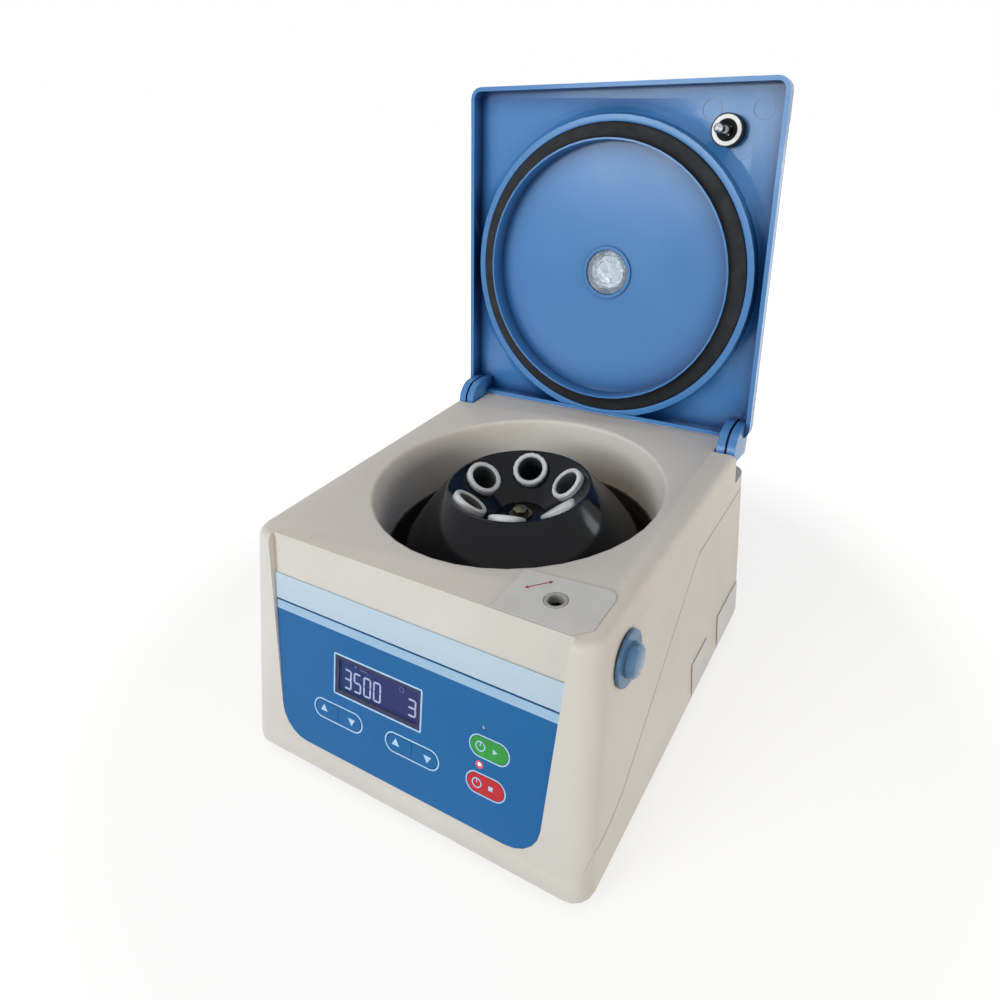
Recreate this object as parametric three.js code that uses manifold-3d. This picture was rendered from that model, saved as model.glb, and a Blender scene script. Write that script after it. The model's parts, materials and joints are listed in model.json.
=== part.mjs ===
// Bench centrifuge for plasma tubes, lid open, in millimetres with +Z up.
// Sizes are written in the case's own frame: x is 0 in the middle, y is 0 at the rotor's axis,
// and z is 0 at the underside of the case. The whole group is then set down on its feet.
import * as THREE from 'three';
import { mergeVertices } from 'three/addons/utils/BufferGeometryUtils.js';
import Module from 'manifold-3d';

const wasm = await Module();
wasm.setup();

// Clearances shared by all pieces
const seatGap = 0.3;
const cutOverrun = 4;
const smallest = 0.0001;

// How finely round things are drawn, as counts
const steps = { ring: 60, large: 40, medium: 20, sleeve: 16, small: 12, tiny: 8, corner: 4, edge: 3 };

// Case: a box with upright sides that draw in a little, and a front that slants back
const housing = {
  width: 250,
  depth: 262,
  height: 156.7,
  frontSlope: 31.3,
  sideDraft: 4.7,
  wall: 3,
  cornerRadius: 14,
  deckEdgeRadius: 4.5,
  footEdgeRadius: 6,
};

// Seam between the upper housing and the base shell, as heights and places on the side
const seam = {
  gap: 0.5,
  rearHeight: 121.5,
  bendHeight: 122.5,
  bendY: 20,
  lowHeight: 40,
  lowY: -110,
  levelHeight: 35,
  levelY: -126,
  noseHeight: 33,
  noseY: -146,
  frontHeight: 13,
  frontY: -162,
};

// Round chamber collar moulded into the deck
const collar = {
  mouthRadius: 101.7,
  throatRadius: 97.8,
  footHeight: 112,
  lipRadius: 2.6,
  wall: 3.2,
};

// Sunken front panel: how far its floor lies behind the front face at the deck and at its foot
const panel = {
  recessTop: 4.9,
  recessFoot: 0.9,
  footHeight: 20,
  halfWidthTop: 108.6,
  halfWidthFoot: 97.6,
  footRadius: 22,
  floorWall: 3,
};

const overlay = {
  thickness: 0.9,
  margin: 0.35,
  topHeight: 113.1,
};

const header = {
  thickness: 0.9,
  height: 17.5,
  lineGap: 0.6,
};

const display = {
  centreX: -19,
  centreHeight: 78.8,
  windowWidth: 66,
  windowHeight: 25.4,
  windowThickness: 0.9,
  windowRadius: 0.8,
  moduleInset: 0.8,
  moduleDepth: 4,
};

// Keys: pills split in two for the arrows, and one pill each for start and stop
const keypad = {
  pillWidth: 38,
  pillHeight: 11,
  pillCentreHeight: 50.4,
  speedX: -49.8,
  timeX: 9.4,
  splitGap: 0.3,
  startX: 63.3,
  startHeight: 74.3,
  stopX: 62.4,
  stopHeight: 50.7,
  bigWidth: 25,
  bigHeight: 12.4,
  padThickness: 0.6,
  padProud: 0.1,
  stemRadius: 2,
  stemLength: 4.3,
  stemHoleClearance: 0.7,
};

const lamp = {
  radius: 1.3,
  tipShare: 0.75,
  clearance: 0.25,
  runX: 57.4,
  runHeight: 62.6,
  readyX: 58.6,
  readyHeight: 86.2,
  length: 5.2,
};

const panelBoard = {
  width: 150,
  height: 62,
  thickness: 1.6,
  centreX: 5,
  centreHeight: 67,
  setBack: 5.2,
  domeRadius: 1.8,
  domeRise: 0.5,
  postRadius: 3,
  postInset: 4,
};

const deckPlate = {
  leftX: 57.2,
  rightX: 114.6,
  rearY: -83.5,
  rearLeftY: -88,
  frontReach: 20.3,
  chamfer: 8,
  cornerRadius: 7,
  thickness: 0.4,
};

// Striker: where it enters the deck, seen from the rotor's axis
const striker = {
  x: 86,
  y: -105,
  holeRadius: 6.4,
  bushRadius: 6.1,
  bushBore: 4.9,
  bushFlange: 6.9,
  bushProud: 0.8,
  bushDepth: 5,
};

const strikerPin = {
  ballRadius: 3.5,
  neckRadius: 2.1,
  stemRadius: 2.9,
  neckLength: 7.4,
  ballReach: 12,
  rootRadius: 8,
  rootThickness: 1.6,
};

const strikerCup = {
  outerRadius: 11.4,
  innerRadius: 3.2,
  dishRadius: 7.2,
  dishDepth: 4,
  faceDepth: 1.8,
  ringOuter: 10.5,
  ringInner: 7.6,
  ringThickness: 1.4,
  ringProud: 0.6,
};

// Release button on the right side
const button = {
  y: -101.5,
  belowDeck: 25.2,
  capRadius: 9.8,
  capProud: 5.4,
  capEdge: 2.4,
  travel: 5,
  shoulderRadius: 11.6,
  shoulderThickness: 2,
  rodRadius: 3.2,
  fingerReach: 95.4,
  fingerY: -99.5,
  fingerWidth: 3,
  fingerThickness: 3,
  fingerTopGap: 8.7,
  bezelRadius: 16.3,
  bezelThickness: 2,
  bezelProud: 1,
  sleeveRadius: 12.2,
  sleeveClearance: 0.3,
  sleeveDepth: 7,
};

const buttonSpring = {
  wire: 0.9,
  coilRadius: 6.6,
  turns: 4,
  sides: 5,
  stepsPerTurn: 8,
};

// Latch bracket under the deck, with the post that the pawl swings on
const latch = {
  plateThickness: 2.2,
  plateLeftX: 74,
  plateFrontY: -117,
  plateRearY: -82,
  wallX: 103.5,
  wallThickness: 2,
  wallReach: 11.5,
  pinHoleRadius: 6.6,
  rodHoleRadius: 4.2,
  pivotX: 97,
  pivotY: -90,
  shoulderRadius: 4,
  postRadius: 2.4,
  headRadius: 4.2,
  headThickness: 2,
  pawlThickness: 2.4,
  pawlDrop: 3,
  boreClearance: 0.25,
};

const pawl = {
  backLength: 4.4,
  frontMargin: 5,
  lip: 1.5,
  width: 7,
  shoulderAt: 11.5,
  bossMargin: 2,
  notchRadius: 2.9,
  openAngle: 20,
};

const lidSwitch = {
  length: 12,
  width: 5,
  height: 14,
  plungerRadius: 1.4,
  plungerGap: 0.9,
};

// Lid, written as it lies when closed, from the hinge's axis
const lid = {
  hingeY: 120.5,
  hingeHeight: 153.3,
  openAngle: 97.8,
  rimGap: 1.3,
  halfWidth: 126.5,
  length: 259.1,
  rearStart: 5,
  cornerRadius: 9,
  rimWall: 3.2,
  depth: 16,
  edgeRadius: 7,
  crown: 2.4,
  crownInset: 34,
  trayDepth: 10.8,
};

const lidRing = {
  floorRadius: 97.8,
  lipInner: 98.9,
  grooveInner: 100.2,
  grooveOuter: 113.9,
  lipOuter: 116.8,
  wallFoot: 118.6,
  wallDepth: 5.5,
  flankFoot: 128,
  flankShares: [0.25, 0.55],
  lipRecess: 0.7,
  lipDrop: 6.1,
  floorDepth: 6.2,
  grooveDepth: 4.6,
};

const gasket = {
  innerRadius: 100.5,
  outerRadius: 113.6,
  noseDrop: 5.1,
  mouthClearance: 0.5,
  crownDrop: 1.4,
};

const sightWindow = {
  boreRadius: 13.6,
  flangeRadius: 17.6,
  flangeThickness: 2.2,
  recessDepth: 1.8,
  spigotClearance: 0.3,
  collarRadius: 20.4,
  collarRise: 1.2,
};

// The marks' places are shares of the striker's distance from the lid's corner.
const mouldMark = {
  radius: 7,
  depth: 0.25,
  shares: [[0.35, -0.43], [-0.54, -0.42], [-0.24, 0.35]],
};

// Hinge ears at the lid's rear corners, round about the hinge and slotted along their fronts,
// and the notches in the deck that take them
const ear = {
  innerInset: 17.5,
  outerInset: 3.5,
  forward: 18.5,
  frontRadius: 17.6,
  tipRadius: 6.4,
  behind: 7,
  boreRadius: 2.2,
  slotWidth: 1.8,
  slotDepth: 3.2,
};

const notch = {
  sideClearance: 1.7,
  radius: 19.5,
  wall: 3,
};

const hingePin = {
  radius: 2,
  inwardReach: 14,
  outerGap: 2.4,
  blockReach: 16,
  blockHalf: 6.5,
  bore: 2.2,
};

// Chamber bowl: black pressed steel under the collar
const bowl = {
  innerRadius: 96.4,
  wall: 1.4,
  floorHeight: 69,
  cornerRadius: 16,
  flangeRadius: 101.6,
  shaftHole: 15,
};

// Rotor: a hollow cone that carries six tilted sleeves
const rotor = {
  ringRadius: 52.3,
  ringHeight: 154.5,
  ringWidth: 2.2,
  coneFootRadius: 91,
  coneFootHeight: 108.4,
  skirtRadius: 92.2,
  skirtHeight: 105.4,
  bottomHeight: 81,
  wall: 3.6,
  dishFloorRadius: 18.5,
  dishFloorHeight: 128.6,
  hubRadius: 14,
  hubHeight: 88,
  boreRadius: 4.3,
};

// The shares give the rounded foot of a sleeve's tube, outside and inside.
const sleeve = {
  count: 6,
  footShares: [[0.55, 0.04], [0.87, 0.4]],
  boreFootShares: [0.8, 0.5],
  tilt: 39,
  firstAngle: 17.5,
  mouthRadius: 34.6,
  mouthHeight: 148.3,
  collarRadius: 13.05,
  collarHeight: 5.7,
  collarEdge: 0.9,
  tubeRadius: 10.3,
  boreRadius: 9.5,
  length: 70,
  holeClearance: 0.3,
};

const rotorNut = {
  acrossRadius: 5.8,
  height: 3.8,
  washerRadius: 8.4,
  washerThickness: 1.2,
  capRadius: 3.1,
  capHeight: 1.2,
};

// Motor, hung under a plate on three dampers
const motor = {
  canRadius: 38,
  canFoot: 9,
  canTop: 54,
  canWall: 2.4,
  bellThickness: 4,
  bellBoss: 11.6,
  bellBossHeight: 5,
  shaftRadius: 4,
  shaftFoot: 12.5,
  armatureRadius: 24,
  armatureFoot: 22,
  armatureTop: 46,
  bearingOuter: 9.6,
  bearingInner: 4.15,
  bearingHeight: 5,
  bearingSeatWall: 2,
  shaftShoulder: 6.4,
};

const motorPlate = {
  radius: 66,
  thickness: 3,
};

const damper = {
  count: 3,
  firstAngle: 90,
  placeRadius: 54,
  radius: 8,
  waist: 6.4,
  height: 17,
  pillarRadius: 8.6,
};

const mainBoard = {
  width: 116,
  depth: 56,
  thickness: 1.6,
  centreY: -106,
  postHeight: 8,
  postRadius: 3.4,
  postInset: 6,
  chipSize: 16,
  chipHeight: 4,
};

const transformer = {
  width: 52,
  depth: 40,
  height: 44,
  centreX: -82,
  rearInset: 33,
  coreInset: 9,
  padHeight: 3,
};

// Power entry at the rear: inlet socket and rocker in one moulded block
const powerEntry = {
  centreX: 62,
  centreHeight: 36,
  width: 58,
  height: 30,
  flangeMargin: 4,
  flangeThickness: 2,
  depth: 26,
  socketX: -11,
  socketWidth: 25,
  socketHeight: 19,
  socketDepth: 17,
  bladeWidth: 2,
  bladeHeight: 5,
  bladeLength: 12,
  bladeSpread: 7,
  bladeShares: [[-1, 0], [1, 0], [0, 0.5]],
  rockerX: 17,
  rockerWidth: 13,
  rockerHeight: 19,
  rockerWell: 9,
};

const rocker = {
  clearance: 0.5,
  thickness: 6,
  faceShare: 0.7,
  swing: 12,
};

const vent = {
  count: 9,
  width: 3,
  height: 34,
  pitch: 7.5,
  centreX: -62,
  centreHeight: 62,
};

const foot = {
  radius: 11,
  topRadius: 12.5,
  height: 7,
  spigotRadius: 4,
  spigotLength: 2.2,
  insetX: 30,
  frontInset: 32,
  rearInset: 26,
};

const sidePlate = {
  thickness: 0.5,
  rearY: 92,
  rearLength: 50,
  frontY: 25,
  frontLength: 32,
  height: 27,
  footHeight: 9.5,
};

// Colours and finishes, by piece
const finishes = {
  ivory: { color: 0xd8d2c6, roughness: 0.45, metalness: 0 },
  white: { color: 0xe6e6e4, roughness: 0.5, metalness: 0 },
  paleBlue: { color: 0xc3dcea, roughness: 0.35, metalness: 0 },
  panelBlue: { color: 0x3469a8, roughness: 0.4, metalness: 0 },
  lidBlue: { color: 0x4a80be, roughness: 0.32, metalness: 0 },
  buttonBlue: { color: 0x3f75ad, roughness: 0.2, metalness: 0 },
  green: { color: 0x2f9a3f, roughness: 0.4, metalness: 0 },
  red: { color: 0xc81e2d, roughness: 0.4, metalness: 0 },
  lampRed: { color: 0xff3b30, roughness: 0.2, metalness: 0 },
  lampDark: { color: 0x27527f, roughness: 0.3, metalness: 0 },
  glassDark: { color: 0x1c2350, roughness: 0.08, metalness: 0 },
  glassClear: { color: 0xd9dddb, roughness: 0.1, metalness: 0 },
  greyPlate: { color: 0xbfbfbf, roughness: 0.5, metalness: 0 },
  rubber: { color: 0x23252b, roughness: 0.75, metalness: 0 },
  black: { color: 0x1c1c20, roughness: 0.18, metalness: 0 },
  blackPaint: { color: 0x1d1a19, roughness: 0.45, metalness: 0.2 },
  sleeveGrey: { color: 0xc9ccce, roughness: 0.35, metalness: 0 },
  steel: { color: 0xb9bcc0, roughness: 0.3, metalness: 1 },
  darkSteel: { color: 0x6d7076, roughness: 0.45, metalness: 1 },
  brass: { color: 0xb59a5c, roughness: 0.35, metalness: 1 },
  board: { color: 0x1d5b3a, roughness: 0.5, metalness: 0 },
  copper: { color: 0x8a4b2a, roughness: 0.45, metalness: 0.6 },
};

// Mesh tools

// A closed mesh with only positions, no empty triangles, and its faces pointing out.
function closed(geometry) {
  const source = geometry.clone();
  source.deleteAttribute('normal');
  source.deleteAttribute('uv');
  const merged = mergeVertices(source, smallest);
  const place = merged.attributes.position.array;
  const index = merged.index ? Array.from(merged.index.array) : [...Array(place.length / 3).keys()];
  const corner = (i) => new THREE.Vector3(place[3 * i], place[3 * i + 1], place[3 * i + 2]);
  const kept = [];
  let volume = 0;
  for (let i = 0; i < index.length; i += 3) {
    const [a, b, c] = [index[i], index[i + 1], index[i + 2]];
    if (a === b || b === c || a === c) continue;
    kept.push(a, b, c);
    volume += corner(a).dot(corner(b).cross(corner(c)));
  }
  if (volume < 0) {
    for (let i = 0; i < kept.length; i += 3) {
      [kept[i], kept[i + 1]] = [kept[i + 1], kept[i]];
    }
  }
  const result = new THREE.BufferGeometry();
  result.setAttribute('position', new THREE.BufferAttribute(place, 3));
  result.setIndex(kept);
  return result;
}

function solid(geometry) {
  const shape = closed(geometry);
  return new wasm.Manifold(new wasm.Mesh({
    numProp: 3,
    vertProperties: new Float32Array(shape.attributes.position.array),
    triVerts: new Uint32Array(shape.index.array),
  }));
}

function surface(manifold) {
  const mesh = manifold.getMesh();
  const geometry = new THREE.BufferGeometry();
  geometry.setAttribute('position', new THREE.BufferAttribute(new Float32Array(mesh.vertProperties), 3));
  geometry.setIndex(Array.from(mesh.triVerts));
  return geometry;
}

// Joins the first shapes and cuts the others from them.
function cut(body, ...tools) {
  return tools.reduce((rest, tool) => rest.subtract(tool), body);
}

function join(body, ...others) {
  return others.reduce((rest, other) => rest.add(other), body);
}

// Shape tools

function box(x0, x1, y0, y1, z0, z1) {
  const geometry = new THREE.BoxGeometry(x1 - x0, y1 - y0, z1 - z0);
  return geometry.translate((x0 + x1) / 2, (y0 + y1) / 2, (z0 + z1) / 2);
}

// A turned shape about Z: its profile is a list of [radius, height] points.
function turned(profile, sides) {
  const points = profile.map(([r, z]) => new THREE.Vector2(Math.max(r, 0), z));
  const onAxis = points[0].x === 0 && points[points.length - 1].x === 0;
  if (!onAxis) points.push(points[0].clone());
  return new THREE.LatheGeometry(points, sides).rotateX(Math.PI / 2);
}

function disc(radius, z0, z1, x = 0, y = 0, sides = steps.medium) {
  return turned([[0, z0], [radius, z0], [radius, z1], [0, z1]], sides).translate(x, y, 0);
}

// A turned shape laid along X, from the given place.
function alongX(geometry, x, y, z) {
  return geometry.rotateY(Math.PI / 2).translate(x, y, z);
}

// A quarter round from one point of a profile to another, as [radius, height] points.
function quarter(centreR, centreZ, radius, fromTurn, toTurn, count = steps.edge) {
  const points = [];
  for (let i = 0; i <= count; i += 1) {
    const turn = fromTurn + (toTurn - fromTurn) * i / count;
    points.push([centreR + radius * Math.cos(turn), centreZ + radius * Math.sin(turn)]);
  }
  return points;
}

function prism(points, depth) {
  const shape = new THREE.Shape(points.map(([x, y]) => new THREE.Vector2(x, y)));
  return new THREE.ExtrudeGeometry(shape, { depth, bevelEnabled: false });
}

// A prism whose outline lies in the YZ plane and runs along X from x0 to x1.
function sidePrism(points, x0, x1) {
  const geometry = prism(points, x1 - x0);
  const turn = new THREE.Matrix4().makeBasis(
    new THREE.Vector3(0, 1, 0),
    new THREE.Vector3(0, 0, 1),
    new THREE.Vector3(1, 0, 0),
  );
  return geometry.applyMatrix4(turn).translate(x0, 0, 0);
}

function roundedOutline(x0, x1, y0, y1, radius, count = steps.corner) {
  const points = [];
  const corners = [
    [x1 - radius, y0 + radius, -Math.PI / 2],
    [x1 - radius, y1 - radius, 0],
    [x0 + radius, y1 - radius, Math.PI / 2],
    [x0 + radius, y0 + radius, Math.PI],
  ];
  for (const [cx, cy, start] of corners) {
    for (let i = 0; i <= count; i += 1) {
      const turn = start + (Math.PI / 2) * i / count;
      points.push([cx + radius * Math.cos(turn), cy + radius * Math.sin(turn)]);
    }
  }
  return points;
}

function pillOutline(width, height) {
  return roundedOutline(-width / 2, width / 2, -height / 2, height / 2, height / 2 - smallest);
}

// A closed skin over rings of equal count, each a list of [x, y] points at a height.
function loft(rings) {
  const count = rings[0].points.length;
  const place = [];
  const index = [];
  for (const ring of rings) {
    for (const [x, y] of ring.points) place.push(x, y, ring.z);
  }
  for (let r = 0; r + 1 < rings.length; r += 1) {
    for (let i = 0; i < count; i += 1) {
      const a = r * count + i;
      const b = r * count + (i + 1) % count;
      index.push(a, b, b + count, a, b + count, a + count);
    }
  }
  const last = (rings.length - 1) * count;
  for (let i = 1; i + 1 < count; i += 1) {
    index.push(0, i + 1, i);
    index.push(last, last + i, last + i + 1);
  }
  const geometry = new THREE.BufferGeometry();
  geometry.setAttribute('position', new THREE.BufferAttribute(new Float32Array(place), 3));
  geometry.setIndex(index);
  return geometry;
}

// Case shape

function frontAt(z) {
  return -housing.depth / 2 - housing.frontSlope * (1 - z / housing.height);
}

function halfWidthAt(z) {
  return housing.width / 2 + housing.sideDraft * (1 - z / housing.height);
}

function caseRing(z, inset) {
  const half = halfWidthAt(z) - inset;
  const radius = Math.max(housing.cornerRadius - inset, housing.wall / 2);
  return { z, points: roundedOutline(-half, half, frontAt(z) + inset, housing.depth / 2 - inset, radius) };
}

// The case's rounded block, drawn in by an inset all round.
function caseBlock(inset) {
  const footRadius = Math.max(housing.footEdgeRadius - inset, housing.wall / 3);
  const deckRadius = Math.max(housing.deckEdgeRadius - inset, housing.wall / 3);
  const rings = [];
  for (let i = 0; i <= steps.edge; i += 1) {
    const turn = (Math.PI / 2) * i / steps.edge;
    const [rise, draw] = [1 - Math.sin(turn), 1 - Math.cos(turn)];
    rings.push(caseRing(inset + footRadius * rise, inset + footRadius * draw));
  }
  rings.sort((a, b) => a.z - b.z);
  for (let i = 0; i <= steps.edge; i += 1) {
    const turn = (Math.PI / 2) * i / steps.edge;
    const z = housing.height - inset - deckRadius * (1 - Math.sin(turn));
    rings.push(caseRing(z, inset + deckRadius * (1 - Math.cos(turn))));
  }
  return solid(loft(rings));
}

// Front panel's own frame: Y runs up its floor and Z points out of it.
const panelFootY = frontAt(panel.footHeight) + panel.recessFoot;
const panelTopY = frontAt(housing.height) + panel.recessTop;
const panelLean = Math.atan2(panelTopY - panelFootY, housing.height - panel.footHeight);
const panelLength = (housing.height - panel.footHeight) / Math.cos(panelLean);

const panelGroup = new THREE.Group();
panelGroup.position.set(0, panelFootY, panel.footHeight);
panelGroup.rotation.x = Math.PI / 2 - panelLean;
panelGroup.updateMatrix();

function upPanel(height) {
  return (height - panel.footHeight) / Math.cos(panelLean);
}

// The panel's half width at a distance up its floor, from the sides that draw in to the foot.
function panelHalf(up, margin) {
  return panel.halfWidthFoot + (panel.halfWidthTop - panel.halfWidthFoot) * up / panelLength + margin;
}

// The panel's outline between two distances up its floor; the foot's corners are round.
function panelOutline(margin, from, to, footRadius) {
  const low = from - margin;
  const lean = (panel.halfWidthTop - panel.halfWidthFoot) / panelLength;
  const half = panelHalf(low, margin);
  const topHalf = panelHalf(to, margin);
  if (!footRadius) return [[-half, low], [half, low], [topHalf, to], [-topHalf, to]];
  const right = [];
  const side = Math.atan(lean);
  const reach = footRadius * (1 / Math.cos(side) - Math.tan(side));
  for (let i = 0; i <= steps.corner + 1; i += 1) {
    const turn = -Math.PI / 2 + (Math.PI / 2 - side) * i / (steps.corner + 1);
    right.push([
      half - reach + footRadius * Math.cos(turn),
      low + footRadius + footRadius * Math.sin(turn),
    ]);
  }
  const left = right.map(([x, y]) => [-x, y]).reverse();
  return [...right, [panelHalf(to, margin), to], [-panelHalf(to, margin), to], ...left];
}

function onPanel(geometry) {
  return solid(geometry.applyMatrix4(panelGroup.matrix));
}

function panelHole(outline, x, height) {
  const tool = prism(outline, panel.floorWall + 2 * cutOverrun);
  return onPanel(tool.translate(x, upPanel(height), -panel.floorWall - cutOverrun));
}

// Keys: name, finish, centre and half of the pill that each one takes (0 for a whole pill)
const keys = [
  { name: 'key_speed_up', finish: 'panelBlue', x: keypad.speedX, half: -1 },
  { name: 'key_speed_down', finish: 'panelBlue', x: keypad.speedX, half: 1 },
  { name: 'key_time_up', finish: 'panelBlue', x: keypad.timeX, half: -1 },
  { name: 'key_time_down', finish: 'panelBlue', x: keypad.timeX, half: 1 },
  { name: 'key_start', finish: 'green', x: keypad.startX, half: 0, height: keypad.startHeight },
  { name: 'key_stop', finish: 'red', x: keypad.stopX, half: 0, height: keypad.stopHeight },
];

function keyHeight(key) {
  return key.half === 0 ? key.height : keypad.pillCentreHeight;
}

function keyStemX(key) {
  return key.x + key.half * keypad.pillWidth / 4;
}

function keySize(key, margin) {
  const width = key.half === 0 ? keypad.bigWidth : keypad.pillWidth;
  const height = key.half === 0 ? keypad.bigHeight : keypad.pillHeight;
  return [width + 2 * margin, height + 2 * margin];
}

const lamps = [
  { name: 'lamp_run', finish: 'lampRed', x: lamp.runX, height: lamp.runHeight },
  { name: 'lamp_ready', finish: 'lampDark', x: lamp.readyX, height: lamp.readyHeight },
];

function circleOutline(radius, sides) {
  const points = [];
  for (let i = 0; i < sides; i += 1) {
    const turn = 2 * Math.PI * i / sides;
    points.push([radius * Math.cos(turn), radius * Math.sin(turn)]);
  }
  return points;
}

// Seam prism: the outline of all that lies above the seam, or below it.
function seamSide(above) {
  const shift = (above ? 1 : -1) * seam.gap / 2;
  const far = housing.depth;
  const line = [
    [far, seam.rearHeight + shift],
    [seam.bendY, seam.bendHeight + shift],
    [seam.lowY, seam.lowHeight + shift],
    [seam.levelY, seam.levelHeight + shift],
    [seam.noseY, seam.noseHeight + shift],
    [seam.frontY, seam.frontHeight + shift],
    [-far, seam.frontHeight + shift],
  ];
  const end = above ? 2 * housing.height : -housing.height;
  return solid(sidePrism([[far, end], ...line, [-far, end]], -housing.width, housing.width));
}

// Places that several pieces share
const lidHinge = { y: lid.hingeY, z: lid.hingeHeight };
const hingeToAxis = lid.hingeY;
const deckUnderside = housing.height - housing.wall;
const buttonHeight = housing.height - button.belowDeck;
const sideAtButton = halfWidthAt(buttonHeight);
const pinTop = housing.height + lid.rimGap - lid.hingeHeight;
const trayFloor = pinTop + lid.trayDepth;
const innerFloor = pinTop + lidRing.floorDepth;
const earInnerX = lid.halfWidth - ear.innerInset;
const earOuterX = lid.halfWidth - ear.outerInset;
const notchInnerX = earInnerX - notch.sideClearance;
const pinInnerX = earInnerX - hingePin.inwardReach;
const pinOuterX = earOuterX - hingePin.outerGap;
const blockInnerX = earInnerX - hingePin.blockReach;
const plateUnder = deckUnderside - seatGap - latch.plateThickness;
const pawlTop = plateUnder - latch.pawlDrop;
const pawlFoot = pawlTop - latch.pawlThickness;

function notchBox(side, margin) {
  const y = lid.hingeY - notch.radius;
  const z = lid.hingeHeight - notch.radius;
  const inner = notchInnerX - margin;
  const outer = housing.width;
  const [x0, x1] = side > 0 ? [inner, outer] : [-outer, -inner];
  return solid(box(x0, x1, y - margin, housing.depth, z - margin, housing.height + cutOverrun));
}

function buildShell() {
  const outer = caseBlock(0);
  const hollow = caseBlock(housing.wall);
  const slab = onPanel(prism(
    panelOutline(housing.wall, 0, panelLength + cutOverrun, panel.footRadius + housing.wall),
    panel.floorWall + panel.recessTop,
  ).translate(0, 0, -panel.floorWall));
  const pocket = onPanel(prism(
    panelOutline(0, 0, panelLength + 2 * cutOverrun, panel.footRadius),
    panel.recessTop + 2 * cutOverrun,
  ));
  let shell = cut(outer, hollow);
  shell = join(shell, slab.intersect(outer));
  for (const side of [-1, 1]) {
    shell = join(shell, notchBox(side, notch.wall).intersect(outer));
    const block = solid(box(
      side > 0 ? blockInnerX : -notchInnerX,
      side > 0 ? notchInnerX : -blockInnerX,
      lid.hingeY - hingePin.blockHalf,
      lid.hingeY + hingePin.blockHalf,
      lid.hingeHeight - hingePin.blockHalf,
      housing.height - smallest,
    ));
    shell = join(shell, block.intersect(outer));
  }
  for (const side of [-1, 1]) {
    shell = cut(shell, notchBox(side, 0));
    const bore = disc(hingePin.bore, 0, notchInnerX - pinInnerX + cutOverrun, 0, 0, steps.small);
    const start = side > 0 ? pinInnerX - seatGap : -notchInnerX - cutOverrun + seatGap;
    shell = cut(shell, solid(alongX(bore, start, lid.hingeY, lid.hingeHeight)));
  }
  return cut(shell, pocket);
}

const shell = buildShell();

function buildUpperHousing() {
  const mouth = collar.mouthRadius;
  const lip = collar.lipRadius;
  const top = housing.height;
  const profile = [
    [collar.throatRadius, collar.footHeight],
    [mouth - (mouth - collar.throatRadius) / 5, top - 2 * lip],
    ...quarter(mouth + lip, top - lip, lip, Math.PI, Math.PI / 2),
    [mouth + lip + collar.wall, top],
    [mouth + lip + collar.wall, top - lip],
    [collar.throatRadius + collar.wall, collar.footHeight],
  ];
  let body = shell.intersect(seamSide(true));
  body = cut(body, solid(disc(mouth + lip, top - 2 * housing.wall, top + cutOverrun, 0, 0, steps.large)));
  body = join(body, solid(turned(profile, steps.large)));
  const holeFoot = deckUnderside - cutOverrun;
  body = cut(
    body,
    solid(disc(striker.holeRadius, holeFoot, top + cutOverrun, striker.x, striker.y, steps.small)),
    solid(alongX(
      disc(button.sleeveRadius + seatGap, 0, 2 * cutOverrun, 0, 0, steps.medium),
      sideAtButton - housing.wall - cutOverrun,
      button.y,
      buttonHeight,
    )),
    panelHole(
      roundedOutline(
        -display.windowWidth / 2, display.windowWidth / 2,
        -display.windowHeight / 2, display.windowHeight / 2, display.windowRadius,
      ),
      display.centreX,
      display.centreHeight,
    ),
  );
  for (const key of keys) {
    const radius = keypad.stemRadius + keypad.stemHoleClearance;
    body = cut(body, panelHole(circleOutline(radius, steps.tiny), keyStemX(key), keyHeight(key)));
  }
  for (const item of lamps) {
    const round = circleOutline(lamp.radius + lamp.clearance, steps.tiny);
    body = cut(body, panelHole(round, item.x, item.height));
  }
  for (const sideX of [-1, 1]) {
    for (const sideY of [-1, 1]) {
      const x = panelBoard.centreX + sideX * (panelBoard.width / 2 - panelBoard.postInset);
      const up = upPanel(panelBoard.centreHeight) + sideY * (panelBoard.height / 2 - panelBoard.postInset);
      const length = panelBoard.setBack - panel.floorWall - seatGap + smallest;
      const back = -panel.floorWall - length;
      const post = disc(panelBoard.postRadius, back, -panel.floorWall / 2, x, up, steps.tiny);
      body = join(body, onPanel(post));
    }
  }
  return body;
}

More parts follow.
